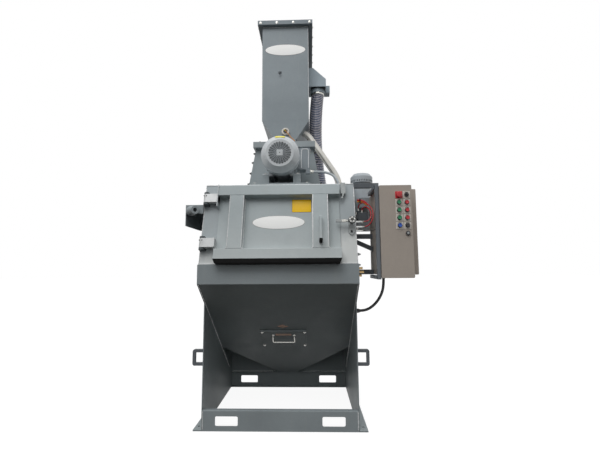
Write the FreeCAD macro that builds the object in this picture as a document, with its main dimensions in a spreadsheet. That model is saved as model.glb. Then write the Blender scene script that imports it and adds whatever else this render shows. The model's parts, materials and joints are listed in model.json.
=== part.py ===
import FreeCAD, Part
import math
import os
import Sketcher

# A shot blasting machine: a steel base with a hopper, a blast cabinet with a side-hinged door on a
# sloping front, a blast wheel and its motor on the roof, and a bucket elevator that lifts the shot
# to a tall bin behind. Lengths are in millimetres and angles in degrees.
# +X is to the right of somebody who faces the door, +Y is to the rear and +Z is up. The origin is on
# the floor, in the middle of the four anchor holes.

SIZES = {
    # base frame and side plates
    "base_width": 1270,
    "base_length": 1113,
    "side_thickness": 8,
    "foot_width": 68,
    "foot_thickness": 10,
    "anchor_radius": 10,
    "anchor_inset": 70,
    "anchor_from_edge": 31,
    "rail_height": 160,
    "rail_thickness": 6,
    "rail_flange": 40,
    "pocket_width": 184,
    "pocket_height": 74,
    "pocket_low": 40,
    "pocket_inset": 203,
    "pocket_round": 12,
    "panel_thickness": 5,
    # lifting handles
    "lift_low": 494,
    "lift_high": 626,
    "lift_reach": 100,
    "lift_bar": 25,
    "lift_inset": 60,
    "lift_round": 18,
    # hopper
    "hopper_overhang": 208,
    "hopper_lip_low": 1174,
    "hopper_top": 1328,
    "hopper_thickness": 6,
    "hopper_corner_back": 605,
    "throat_half": 100,
    "throat_height": 130,
    # clean-out cover on the hopper slope
    "cover_width": 428,
    "cover_length": 292,
    "cover_start": 722,
    "cover_thickness": 6,
    "cover_lip": 16,
    "cover_handle_width": 210,
    "cover_handle_rise": 32,
    "cover_handle_bar": 12,
    "cover_handle_from_top": 165,
    # cabinet
    "cabinet_inset": 5,
    "cabinet_top": 2006,
    "face_tilt": 14.8,
    "face_setback": 12,
    "wall_thickness": 6,
    "frame_thickness": 8,
    "jamb_width": 146,
    "sill_height": 44,
    "head_height": 62,
    "mouth_round": 10,
    "wheel_slot_half": 90,
    "wheel_slot_length": 180,
    # door, measured on the sloping face
    "door_lap": 22,
    "door_drop": 20,
    "door_gap": 5,
    "door_skin": 6,
    "bar_depth": 72,
    "top_bar": 93,
    "bottom_bar": 84,
    "left_rib_inset": 102,
    "left_rib_width": 111,
    "right_rib_inset": 100,
    "right_rib_width": 120,
    "bend_radius": 6,
    "seal_width": 16,
    "seal_gap": 0.3,
    "lip_drop": 32,
    "lip_depth": 84,
    "lip_stand": 20,
    "lip_side": 14,
    "pull_rise": 129,
    "pull_length": 211,
    "pull_bar": 16,
    "pull_stand": 48,
    # hinges
    "hinge_outset": 106,
    "hinge_stand": 42,
    "pin_radius": 11,
    "pin_clearance": 0.5,
    "knuckle_radius": 22,
    "upper_hinge_rise": 492,
    "lower_hinge_rise": 102,
    "hinge_plate": 8,
    "hinge_margin": 2,
    "strap": 8,
    "hinge_block": 75,
    "lug_height": 16,
    "lug_gap": 1,
    # latch
    "latch_outset": 92,
    "latch_rise": 314,
    "latch_plate": 10,
    "latch_plate_half": 24,
    "latch_eye_drop": 85,
    "latch_stud": 7,
    "stud_clearance": 0.3,
    "latch_reach": 84,
    "latch_bar": 16,
    "latch_stand": 58,
    "latch_knob": 26,
    "latch_knob_depth": 22,
    "latch_post": 11,
    "latch_ring": 17,
    # door switch
    "switch_outset": 15,
    "switch_width": 40,
    "switch_low": 590,
    "switch_height": 100,
    "switch_depth": 42,
    "switch_neck": 16,
    "switch_lever": 37,
    "switch_roller": 9,
    # air intake hood on the left wall
    "intake_reach": 149,
    "intake_front": 96,
    "intake_length": 400,
    "intake_below_roof": 182,
    "intake_height": 176,
    "intake_sheet": 5,
    "intake_brow": 74,
    "sleeve_inset": 98,
    "sleeve_drop": 48,
    "sleeve_turn": 42,
    "sleeve_root": 30,
    "sleeve_radius": 35,
    "sleeve_bore": 17,
    "sleeve_length": 65,
    # wheel housing
    "housing_front": 555,
    "housing_depth": 220,
    "housing_height": 506,
    "housing_top_half": 294,
    "housing_foot_half": 388,
    "housing_flange": 24,
    "lid_half": 315,
    "lid_front": 500,
    "lid_thickness": 60,
    "lid_gap": 3,
    # wheel motor
    "motor_rise": 281,
    "motor_front": -25,
    "fan_cover_length": 150,
    "fan_cover_radius": 169,
    "fan_cover_nose": 121,
    "motor_radius": 158,
    "fin_height": 14,
    "fin_thickness": 5,
    "bell_length": 26,
    "foot_width_half": 80,
    "elbow_size": 40,
    "motor_base_half": 259,
    "motor_base_front": 60,
    "motor_base_height": 34,
    "pedestal_half": 172,
    "pedestal_opening": 108,
    "pedestal_front": 110,
    "foot_drop": 159,
    "foot_plate": 18,
    "terminal_gap": 4,
    "terminal_width": 99,
    "terminal_drop": 65,
    "terminal_height": 210,
    "terminal_neck": 15,
    "terminal_front": 290,
    "terminal_depth": 120,
    # storage bin
    "bin_front": 715,
    "bin_depth": 836,
    "bin_half": 256,
    "bin_top": 4029,
    "spout_height": 102,
    "bin_taper": 210,
    "bin_foot_half": 121,
    "bin_sheet": 5,
    "rim_half": 304,
    "rim_height": 49,
    "bin_cover": 8,
    "port_height": 77,
    "port_radius": 40,
    "port_depth": 24,
    # bucket elevator
    "leg_half": 115,
    "leg_depth": 340,
    "boot_half": 150,
    "boot_depth": 400,
    "boot_height": 470,
    "bearing_radius": 45,
    "bearing_depth": 40,
    "hatch_half": 105,
    "hatch_depth": 8,
    "leg_flange": 22,
    "leg_section": 1000,
    # vent hood, hose and pipes
    "vent_front": 900,
    "vent_depth": 210,
    "vent_below_top": 437,
    "vent_height": 226,
    "vent_shoulder": 89,
    "vent_reach": 250,
    "vent_step": 52,
    "hose_radius": 74,
    "collar_radius": 80,
    "collar_height": 46,
    "hose_top_outset": 105,
    "hose_foot_outset": 150,
    "overflow_radius": 35,
    "overflow_start": 120,
    "overflow_along": 875,
    "overflow_reach": 385,
    "overflow_fall": 540,
    "conduit_radius": 11.5,
    "panel_conduit_radius": 11.4,
    "air_hose_radius": 4.5,
    "sensor_cable_radius": 2.5,
    "valve_gap": 30,
    "valve_width": 90,
    "valve_below_roof": 246,
    "valve_height": 70,
    "valve_front": 0,
    "valve_depth": 60,
    "valve_arm": 30,
    "valve_coil": 24,
    "coil_height": 22,
    "fitting_radius": 8,
    "fitting_front": -99,
    # control panel
    "console_gap": 155,
    "console_width": 246,
    "console_drop": 111,
    "console_height": 708,
    "console_front": -300,
    "console_depth": 145,
    "enclosure_width": 319,
    "console_door": 22,
    "console_rim": 5,
    "console_round": 8,
    "enclosure_lift": 22,
    "enclosure_height": 684,
    "enclosure_depth": 330,
    "arm_bar": 40,
    "arm_depth": 50,
    "arm_over_roof": 19,
    "arm_post_inset": 24,
    "brace_drop": 40,
    "brace_fall": 70,
    "button_pitch": 59,
    "button_radius": 14,
    "button_depth": 16,
    "button_inset": 147,
    "button_drop": 76,
    "legend_half": 27,
    "legend_thickness": 2,
    "stop_radius": 23,
    "stop_depth": 12,
    # vertical gearmotor
    "gear_outset": 113,
    "gear_along": 300,
    "gear_cap_radius": 102,
    "gear_cap_lift": 70,
    "gear_cap_height": 86,
    "gear_cap_bevel": 24,
    "gear_motor_radius": 84,
    "gear_motor_length": 276,
    "gearbox_half": 74,
    "gearbox_round": 14,
    "gear_terminal": 90,
    "gear_neck": 48,
    "gearbox_height": 168,
}

# Each free cord keeps its own points, chosen by hand
MOTOR_CONDUIT = [
    (261, -246, 2202),
    (345, -246, 2202),
    (418, -272, 2188),
    (474, -310, 2152),
    (508, -342, 2100),
    (520, -354, 2050),
    (520, -354, 2006),
]
PANEL_CONDUIT = [
    (857, -576, 1239),
    (857, -576, 1170),
    (848, -562, 1100),
    (822, -540, 1038),
    (784, -516, 986),
    (738, -498, 950),
    (688, -490, 936),
    (635, -490, 936),
]
AIR_HOSE_OUTER = [
    (672, -510, 1782),
    (672, -510, 1816),
    (686, -528, 1840),
    (716, -560, 1846),
    (750, -598, 1820),
    (772, -636, 1772),
    (776, -658, 1716),
    (758, -662, 1664),
    (722, -656, 1627),
    (684, -656, 1627),
]
AIR_HOSE_INNER = [
    (700, -536, 1760),
    (700, -536, 1788),
    (712, -552, 1808),
    (736, -584, 1804),
    (757, -618, 1768),
    (759, -644, 1722),
    (746, -656, 1688),
    (717, -654, 1669),
    (679, -654, 1669),
]
SENSOR_CABLE = [
    (690, -645, 1596),
    (718, -645, 1596),
    (742, -662, 1594),
    (758, -690, 1592),
    (768, -722, 1594),
    (795, -760, 1600),
]
HOSE_SIDES = 16
CORD_SIDES = 6

DOC = FreeCAD.newDocument("shot_blasting_machine")
SHEET = DOC.addObject("Spreadsheet::Sheet", "Sizes")
for row, (alias, number) in enumerate(SIZES.items(), start=1):
    SHEET.set(f"A{row}", alias)
    SHEET.set(f"B{row}", str(number))
    SHEET.setAlias(f"B{row}", alias)
DOC.recompute()
SUBPARTS = []


class Size:
    """A number with the sheet expression that gives it, so a shape is drawn and bound in one go."""

    def __init__(self, value, text):
        self.value = value
        self.text = text

    def __add__(self, other):
        return joined(self, "+", other, self.value + number_of(other))

    def __radd__(self, other):
        return joined(other, "+", self, number_of(other) + self.value)

    def __sub__(self, other):
        return joined(self, "-", other, self.value - number_of(other))

    def __rsub__(self, other):
        return joined(other, "-", self, number_of(other) - self.value)

    def __mul__(self, other):
        return joined(self, "*", other, self.value * number_of(other))

    def __rmul__(self, other):
        return joined(other, "*", self, number_of(other) * self.value)

    def __truediv__(self, other):
        return joined(self, "/", other, self.value / number_of(other))

    def __neg__(self):
        return Size(-self.value, f"(-{self.text})")


def number_of(length):
    return length.value if isinstance(length, Size) else length


def text_of(length):
    return length.text if isinstance(length, Size) else f"({length})"


def joined(first, sign, second, value):
    return Size(value, f"({text_of(first)} {sign} {text_of(second)})")


def size(alias):
    return Size(float(SIZES[alias]), f"Sizes.{alias}")


def sine(angle):
    return Size(math.sin(math.radians(angle.value)), f"sin({angle.text})")


def cosine(angle):
    return Size(math.cos(math.radians(angle.value)), f"cos({angle.text})")


def arc_tangent(rise, run):
    angle = math.degrees(math.atan2(rise.value, run.value))
    return Size(angle, f"atan({rise.text} / {run.text})")


def ordered(first, second):
    """Two lengths, the lower one first."""
    return (first, second) if number_of(first) < number_of(second) else (second, first)


def bind(thing, prop, length):
    """Sets a property from the sheet when the length comes from it."""
    if isinstance(length, Size):
        thing.setExpression(prop, length.text)
    else:
        thing.setExpression(prop, str(length))


class Frame:
    """A place for a sub-part: a point, and a turn about the X axis."""

    def __init__(self, x, y, z, turn=0):
        self.x, self.y, self.z, self.turn = x, y, z, turn

    def apply(self, body):
        body.Placement = FreeCAD.Placement(
            FreeCAD.Vector(number_of(self.x), number_of(self.y), number_of(self.z)),
            FreeCAD.Rotation(FreeCAD.Vector(1, 0, 0), number_of(self.turn)),
        )
        for axis, length in zip("xyz", (self.x, self.y, self.z)):
            bind(body, f"Placement.Base.{axis}", length)
        if isinstance(self.turn, Size):
            bind(body, "Placement.Rotation.Angle", self.turn)


def new_body(label, frame=None):
    body = DOC.addObject("PartDesign::Body", label)
    body.Label = label
    body.AllowCompound = True
    if frame:
        frame.apply(body)
    SUBPARTS.append(body)
    return body


def new_sketch(body, plane, offset):
    """A sketch on one of the body's own planes, moved along the plane's normal by offset."""
    sketch = body.newObject("Sketcher::SketchObject", f"{body.Label}_sketch")
    origin = [part for part in body.Origin.OriginFeatures if part.Role == f"{plane}_Plane"][0]
    sketch.AttachmentSupport = [(origin, "")]
    sketch.MapMode = "FlatFace"
    sketch.AttachmentOffset = FreeCAD.Placement(
        FreeCAD.Vector(0, 0, number_of(offset)), FreeCAD.Rotation()
    )
    bind(sketch, "AttachmentOffset.Base.z", offset)
    return sketch


def pin_point(sketch, geometry, end, across, up):
    """Holds one point of a sketch at the distances across and up from its origin."""
    for kind, length in (("DistanceX", across), ("DistanceY", up)):
        hold(sketch, kind, geometry, end, length)


def hold(sketch, kind, geometry, end, length):
    index = sketch.addConstraint(Sketcher.Constraint(kind, -1, 1, geometry, end, number_of(length)))
    name = f"c{index}"
    sketch.renameConstraint(index, name)
    bind(sketch, f"Constraints.{name}", length)


def draw_polygon(sketch, points):
    first = sketch.GeometryCount
    count = len(points)
    for k in range(count):
        start, stop = points[k], points[(k + 1) % count]
        ends = [FreeCAD.Vector(number_of(p[0]), number_of(p[1]), 0) for p in (start, stop)]
        sketch.addGeometry(Part.LineSegment(*ends), False)
    for k in range(count):
        link = Sketcher.Constraint("Coincident", first + k, 2, first + (k + 1) % count, 1)
        sketch.addConstraint(link)
        pin_point(sketch, first + k, 1, *points[k])


def draw_circle(sketch, across, up, radius):
    centre = FreeCAD.Vector(number_of(across), number_of(up), 0)
    circle = Part.Circle(centre, FreeCAD.Vector(0, 0, 1), number_of(radius))
    geometry = sketch.addGeometry(circle, False)
    pin_point(sketch, geometry, 3, across, up)
    index = sketch.addConstraint(Sketcher.Constraint("Radius", geometry, number_of(radius)))
    sketch.renameConstraint(index, f"c{index}")
    bind(sketch, f"Constraints.c{index}", radius)


def draw_rounded_box(sketch, left, right, low, high, corner):
    """A rectangle with four equal rounded corners."""
    near, far = left + corner, right - corner
    under, over = low + corner, high - corner
    sides = [
        ((near, low), (far, low)),
        ((right, under), (right, over)),
        ((far, high), (near, high)),
        ((left, over), (left, under)),
    ]
    centres = [(far, under), (far, over), (near, over), (near, under)]
    first = sketch.GeometryCount
    for k, (start, stop) in enumerate(sides):
        ends = [FreeCAD.Vector(number_of(p[0]), number_of(p[1]), 0) for p in (start, stop)]
        sketch.addGeometry(Part.LineSegment(*ends), False)
        centre = FreeCAD.Vector(number_of(centres[k][0]), number_of(centres[k][1]), 0)
        circle = Part.Circle(centre, FreeCAD.Vector(0, 0, 1), number_of(corner))
        from_angle = math.radians(-90 + 90 * k)
        sketch.addGeometry(Part.ArcOfCircle(circle, from_angle, from_angle + math.pi / 2), False)
    for k, (start, stop) in enumerate(sides):
        line, arc = first + 2 * k, first + 2 * k + 1
        following = first + (2 * k + 2) % 8
        pin_point(sketch, line, 1, *start)
        pin_point(sketch, line, 2, *stop)
        sketch.addConstraint(Sketcher.Constraint("Coincident", line, 2, arc, 1))
        sketch.addConstraint(Sketcher.Constraint("Coincident", arc, 2, following, 1))
        hold(sketch, "DistanceX", arc, 3, centres[k][0])


def draw(sketch, shape):
    kind, values = shape[0], shape[1:]
    if kind == "circle":
        draw_circle(sketch, *values)
    elif kind == "rounded":
        draw_rounded_box(sketch, *values)
    else:
        draw_polygon(sketch, *values)


def box_shape(left, right, low, high):
    return "polygon", [(left, low), (right, low), (right, high), (left, high)]


def plane_start(plane, low, high):
    """How far along a plane's normal a pad starts: the XZ plane's normal points to the front."""
    return -high if plane == "XZ" else low


def pad(body, plane, shapes, low, high):
    """Adds the shapes, from low to high along the axis that the plane doesn't hold."""
    sketch = new_sketch(body, plane, plane_start(plane, low, high))
    for shape in shapes:
        draw(sketch, shape)
    feature = body.newObject("PartDesign::Pad", f"{body.Label}_pad")
    feature.Profile = sketch
    bind(feature, "Length", high - low)
    sketch.Visibility = False
    return feature


def pocket(body, plane, shapes, low, high):
    """Cuts the shapes away, from low to high along the axis that the plane doesn't hold."""
    start = -low if plane == "XZ" else high
    sketch = new_sketch(body, plane, start)
    for shape in shapes:
        draw(sketch, shape)
    feature = body.newObject("PartDesign::Pocket", f"{body.Label}_pocket")
    feature.Profile = sketch
    bind(feature, "Length", high - low)
    return feature


def revolve(body, plane, points, axis):
    """Turns a half outline about one of the sketch's own axes."""
    sketch = new_sketch(body, plane, 0)
    draw_polygon(sketch, points)
    feature = body.newObject("PartDesign::Revolution", f"{body.Label}_turned")
    feature.Profile = sketch
    feature.ReferenceAxis = (sketch, [axis])
    feature.Angle = 360
    return feature


def turned(body, kind, height, place, angle, outline):
    """Turns (length, radius) points about a level axis that leaves a place at an angle from -Y to +X."""
    sketch = new_sketch(body, "XY", height)
    points = [
        (
            place[0] + length * sine(angle) + radius * cosine(angle),
            place[1] - length * cosine(angle) + radius * sine(angle),
        )
        for length, radius in outline
    ]
    ends = [FreeCAD.Vector(number_of(p[0]), number_of(p[1]), 0) for p in (points[0], points[-1])]
    sketch.addGeometry(Part.LineSegment(*ends), True)
    pin_point(sketch, 0, 1, *points[0])
    pin_point(sketch, 0, 2, *points[-1])
    draw_polygon(sketch, points)
    feature = body.newObject(f"PartDesign::{kind}", f"{body.Label}_turned")
    feature.Profile = sketch
    feature.ReferenceAxis = (sketch, ["Axis0"])
    feature.Angle = 360
    return feature


def fillet(body, radius, axis, spots):
    """Rounds the straight edges along one axis that stand at the given places across it."""
    DOC.recompute()
    base = body.Tip
    others = [k for k in range(3) if "XYZ"[k] != axis]
    chosen = []
    for index, edge in enumerate(base.Shape.Edges, start=1):
        bounds = edge.BoundBox
        low = (bounds.XMin, bounds.YMin, bounds.ZMin)
        high = (bounds.XMax, bounds.YMax, bounds.ZMax)
        for spot in spots:
            gaps = [
                max(abs(low[k] - number_of(place)), abs(high[k] - number_of(place)))
                for k, place in zip(others, spot)
            ]
            if max(gaps) < 0.01:
                chosen.append(f"Edge{index}")
    feature = body.newObject("PartDesign::Fillet", f"{body.Label}_rounded")
    feature.Base = (base, chosen)
    bind(feature, "Radius", radius)
    body.Tip = feature
    return feature


def tube_section(radius, centre, direction, sides):
    """A circle, or a regular polygon whose corners lie on it, square to the direction."""
    if not sides:
        return Part.Wire([Part.makeCircle(radius, centre, direction)]), math.pi * radius**2
    turn = FreeCAD.Rotation(FreeCAD.Vector(0, 0, 1), direction)
    step = 2 * math.pi / sides
    corners = [
        centre + turn.multVec(FreeCAD.Vector(radius * math.cos(k * step), radius * math.sin(k * step), 0))
        for k in range(sides)
    ]
    area = sides * radius**2 * math.sin(step) / 2
    return Part.makePolygon(corners + corners[:1]), area


def route_tube(label, points, radius, sides=0):
    """A tube along straight runs that are joined by tangent arcs, round or with flat sides."""
    vectors = [FreeCAD.Vector(*[number_of(value) for value in point]) for point in points]
    edges = []
    start = vectors[0]
    radii = []
    for before, corner, after in zip(vectors, vectors[1:], vectors[2:]):
        arriving = (corner - before).normalize()
        leaving = (after - corner).normalize()
        turn = arriving.getAngle(leaving)
        trim = 0.45 * min((corner - before).Length, (after - corner).Length)
        radii.append(trim / math.tan(turn / 2))
        begin = corner - arriving * trim
        finish = corner + leaving * trim
        inward = (leaving - arriving).normalize()
        bulge = radii[-1] * (1 / math.cos(turn / 2) - 1)
        edges.append(Part.LineSegment(start, begin).toShape())
        edges.append(Part.Arc(begin, corner + inward * bulge, finish).toShape())
        start = finish
    edges.append(Part.LineSegment(start, vectors[-1]).toShape())
    path = Part.Wire(edges)
    direction = (vectors[1] - vectors[0]).normalize()
    ring, area = tube_section(number_of(radius), vectors[0], direction, sides)
    tube = path.makePipeShell([ring], True, False)
    expected = area * path.Length
    print(label, "radii", [round(value) for value in radii], "length", round(path.Length))
    print(label, "volume against section times length", round(tube.Volume / expected, 4))
    feature = DOC.addObject("Part::Feature", label)
    feature.Label = label
    feature.Shape = tube
    feature.Placement = FreeCAD.Placement()
    SUBPARTS.append(feature)
    return feature


FRONT = -size("base_length") / 2
REAR = size("base_length") / 2
SIDE = size("base_width") / 2
INNER = SIDE - size("side_thickness")
RAIL_TOP = size("rail_height")
SLOPE_DROP = size("hopper_lip_low") - RAIL_TOP
SLOPE_RUN = size("hopper_overhang") + size("base_length") - size("rail_flange")
LIP_FRONT = FRONT - size("hopper_overhang")
HOPPER_TOP = size("hopper_top")
ROOF = size("cabinet_top")
TILT = size("face_tilt")
FACE_RISE = sine(TILT) / cosine(TILT)
FACE_SPAN = (ROOF - HOPPER_TOP) / cosine(TILT)
FACE = Frame(0, LIP_FRONT + size("face_setback"), HOPPER_TOP, -TILT)
CABINET = SIDE - size("cabinet_inset")
CHAMBER = CABINET - size("wall_thickness")
MOUTH = CHAMBER - size("jamb_width")
MOUTH_LOW = size("sill_height")
MOUTH_HIGH = FACE_SPAN - size("head_height")
DOOR = MOUTH + size("door_lap")
DOOR_LOW = MOUTH_LOW - size("door_drop")
DOOR_HIGH = MOUTH_HIGH + size("door_lap")
SKIN_FRONT = -size("door_gap") - size("door_skin")
BAR_FRONT = -size("door_gap") - size("bar_depth")
RIB_LEFT = DOOR - size("right_rib_inset") - size("right_rib_width")
RIB_RIGHT = DOOR - size("right_rib_inset")
HINGE = -DOOR - size("hinge_outset")
HOUSING_FRONT = FRONT + size("housing_front")
HOUSING_BACK = HOUSING_FRONT + size("housing_depth")
HOUSING_TOP = ROOF + size("housing_height")
LID_LOW = HOUSING_TOP + size("lid_gap")
LID_TOP = LID_LOW + size("lid_thickness")
LID_FRONT = FRONT + size("lid_front")
LID_BACK = HOUSING_BACK + (HOUSING_FRONT - LID_FRONT)
BIN_FRONT = FRONT + size("bin_front")
BIN_BACK = BIN_FRONT + size("bin_depth")
BIN_FOOT = LID_TOP + size("spout_height")
BIN_BREAK = BIN_FOOT + size("bin_taper")
BIN_LEAN = size("bin_half") - size("bin_foot_half")
MOTOR_AXIS = ROOF + size("motor_rise")


def slope_height(along):
    """Height of the hopper's sloping floor at a distance along Y."""
    return size("hopper_lip_low") - (along - LIP_FRONT) * SLOPE_DROP / SLOPE_RUN


def side_plates():
    """Two plates from the floor to the top of the hopper, each with a foot bent outwards."""
    start = LIP_FRONT + size("side_thickness")
    outline = [
        (FRONT, 0),
        (REAR, 0),
        (REAR, HOPPER_TOP),
        (start, HOPPER_TOP),
        (start, slope_height(start)),
        (FRONT, slope_height(FRONT)),
    ]
    edge = SIDE + size("foot_width")
    for name, sign in (("left", -1), ("right", 1)):
        body = new_body(f"{name}_side_plate")
        pad(body, "YZ", [("polygon", outline)], *ordered(sign * INNER, sign * SIDE))
        near, far = ordered(sign * SIDE, sign * edge)
        pad(body, "XY", [box_shape(near, far, FRONT, REAR)], 0, size("foot_thickness"))
        hole = sign * (edge - size("anchor_from_edge"))
        holes = [
            ("circle", hole, FRONT + size("anchor_inset"), size("anchor_radius")),
            ("circle", hole, REAR - size("anchor_inset"), size("anchor_radius")),
        ]
        pocket(body, "XY", holes, 0, size("foot_thickness"))


def crossmembers():
    """Front and rear channels between the side plates, with pockets for the forks of a lift truck."""
    thick = size("rail_thickness")
    low = size("pocket_low")
    centre = SIDE - size("pocket_inset")
    half = size("pocket_width") / 2
    for name, edge, sign in (("front", FRONT, 1), ("rear", REAR, -1)):
        body = new_body(f"{name}_crossmember")
        web, flange = edge + sign * thick, edge + sign * size("rail_flange")
        profile = [
            (edge, 0),
            (flange, 0),
            (flange, thick),
            (web, thick),
            (web, RAIL_TOP - thick),
            (flange, RAIL_TOP - thick),
            (flange, RAIL_TOP),
            (edge, RAIL_TOP),
        ]
        pad(body, "YZ", [("polygon", profile)], -INNER, INNER)
        slots = [
            ("rounded", middle - half, middle + half, low, low + size("pocket_height"), size("pocket_round"))
            for middle in (-centre, centre)
        ]
        pocket(body, "XZ", slots, *ordered(edge, web))
        fillet(body, thick * 1.2, "X", [(edge, RAIL_TOP)])


def rear_panel():
    """The closed sheet behind the hopper, with the throat that feeds the elevator."""
    body = new_body("rear_panel")
    back = REAR - size("panel_thickness")
    pad(body, "XZ", [box_shape(-INNER, INNER, RAIL_TOP, HOPPER_TOP)], back, REAR)
    half = size("throat_half") - size("hopper_thickness")
    low = RAIL_TOP + size("hopper_thickness")
    pocket(body, "XZ", [box_shape(-half, half, low, RAIL_TOP + size("throat_height"))], back, REAR)


def lifting_handles():
    """Bar loops with rounded corners on the outside of both side plates."""
    body = new_body("lifting_handles")
    bar = size("lift_bar")
    low, high = size("lift_low"), size("lift_high")
    outer = SIDE + size("lift_reach")
    corners = []
    for sign in (-1, 1):
        loop = [
            (sign * SIDE, low),
            (sign * outer, low),
            (sign * outer, high),
            (sign * SIDE, high),
            (sign * SIDE, high - bar),
            (sign * (outer - bar), high - bar),
            (sign * (outer - bar), low + bar),
            (sign * SIDE, low + bar),
        ]
        corners += [loop[1], loop[2]]
        for middle in (FRONT + size("lift_inset"), REAR - size("lift_inset")):
            pad(body, "XZ", [("polygon", loop)], middle - bar / 2, middle + bar / 2)
    fillet(body, size("lift_round"), "Y", corners)


def hopper():
    """A sloping floor that narrows to the throat, two wings beside it and a band along its lip."""
    thick = size("hopper_thickness")
    end = REAR - size("rail_flange")
    back = REAR - size("panel_thickness")
    corner = FRONT + size("hopper_corner_back")
    corner_height = slope_height(corner)
    start = LIP_FRONT + size("side_thickness")
    throat = size("throat_half")
    floor = new_body("hopper_slope")
    profile = [
        (start, slope_height(start)),
        (end, RAIL_TOP),
        (end, RAIL_TOP + thick),
        (start, slope_height(start) + thick),
    ]
    pad(floor, "YZ", [("polygon", profile)], -INNER, INNER)
    low = RAIL_TOP - 2 * thick
    for sign in (-1, 1):
        triangle = [
            (sign * throat, RAIL_TOP),
            (sign * INNER, corner_height),
            (sign * INNER, low),
            (sign * throat, low),
        ]
        pocket(floor, "XZ", [("polygon", triangle)], corner - thick, REAR)
    wings = new_body("hopper_wings")
    edge = corner - 2 * thick
    for sign in (-1, 1):
        sheet = [
            (sign * throat, RAIL_TOP),
            (sign * INNER, corner_height),
            (sign * INNER, corner_height + thick),
            (sign * throat, RAIL_TOP + thick),
        ]
        pad(wings, "XZ", [("polygon", sheet)], edge, back)
    under = [
        (edge - thick, slope_height(edge - thick) + thick),
        (edge - thick, 0),
        (back, 0),
        (back, RAIL_TOP),
        (end, RAIL_TOP + thick),
    ]
    pocket(wings, "YZ", [("polygon", under)], -INNER, INNER)
    band = new_body("hopper_band")
    lip = [
        (LIP_FRONT, size("hopper_lip_low")),
        (start, slope_height(start)),
        (start, HOPPER_TOP),
        (LIP_FRONT, HOPPER_TOP),
    ]
    pad(band, "YZ", [("polygon", lip)], -SIDE, SIDE)
    ledge = [
        (start, HOPPER_TOP - size("side_thickness")),
        (FACE.y + size("frame_thickness"), HOPPER_TOP - size("side_thickness")),
        (FACE.y + size("frame_thickness"), HOPPER_TOP),
        (start, HOPPER_TOP),
    ]
    pad(band, "YZ", [("polygon", ledge)], -INNER, INNER)


def clean_out():
    """A bolted cover on the slope, with a bent lip along its top and a bar handle."""
    angle = arc_tangent(SLOPE_DROP, SLOPE_RUN)
    frame = Frame(0, LIP_FRONT, size("hopper_lip_low"), -angle)
    thick = size("cover_thickness")
    half = size("cover_width") / 2
    start = size("cover_start")
    stop = start + size("cover_length")
    cover = new_body("clean_out_cover", frame)
    pad(cover, "XY", [box_shape(-half, half, start, stop)], -thick, 0)
    pad(cover, "XY", [box_shape(-half, half, start - thick, start)], -size("cover_lip"), 0)
    bar = size("cover_handle_bar")
    grip = size("cover_handle_width") / 2
    middle = start + size("cover_handle_from_top")
    low = -thick - size("cover_handle_rise")
    handle = new_body("clean_out_handle", frame)
    loop = [
        (-grip, -thick),
        (-grip, low),
        (grip, low),
        (grip, -thick),
        (grip - bar, -thick),
        (grip - bar, low + bar),
        (-grip + bar, low + bar),
        (-grip + bar, -thick),
    ]
    pad(handle, "XZ", [("polygon", loop)], middle - bar / 2, middle + bar / 2)
    fillet(handle, bar * 0.7, "Y", [loop[1], loop[2]])


def cabinet():
    """The blast cabinet: side walls, a roof, a rear wall and the frame around the door's mouth."""
    wall = size("wall_thickness")
    face_high = FACE.y + (ROOF - HOPPER_TOP) * FACE_RISE
    outline = [(FACE.y, HOPPER_TOP), (REAR, HOPPER_TOP), (REAR, ROOF), (face_high, ROOF)]
    for name, sign in (("left", -1), ("right", 1)):
        body = new_body(f"cabinet_{name}_wall")
        pad(body, "YZ", [("polygon", outline)], *ordered(sign * CHAMBER, sign * CABINET))
    rear = new_body("cabinet_rear_wall")
    pad(rear, "XZ", [box_shape(-CHAMBER, CHAMBER, HOPPER_TOP, ROOF - wall)], REAR - wall, REAR)
    roof = new_body("cabinet_roof")
    sheet = [
        (face_high - wall * FACE_RISE, ROOF - wall),
        (REAR, ROOF - wall),
        (REAR, ROOF),
        (face_high, ROOF),
    ]
    pad(roof, "YZ", [("polygon", sheet)], -CHAMBER, CHAMBER)
    half = size("wheel_slot_half")
    middle = (HOUSING_FRONT + HOUSING_BACK) / 2
    reach = size("wheel_slot_length") / 2
    slot = box_shape(-half, half, middle - reach, middle + reach)
    pocket(roof, "XY", [slot], ROOF - wall, ROOF)
    surround = new_body("cabinet_front_frame", FACE)
    deep = size("frame_thickness")
    head = FACE_SPAN - wall / cosine(TILT)
    panel = [(0, 0), (deep, deep * FACE_RISE), (deep, head + deep * FACE_RISE), (0, head)]
    pad(surround, "YZ", [("polygon", panel)], -CHAMBER, CHAMBER)
    mouth = ("rounded", -MOUTH, MOUTH, MOUTH_LOW, MOUTH_HIGH, size("mouth_round"))
    pocket(surround, "XZ", [mouth], 0, deep + wall)


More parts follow.
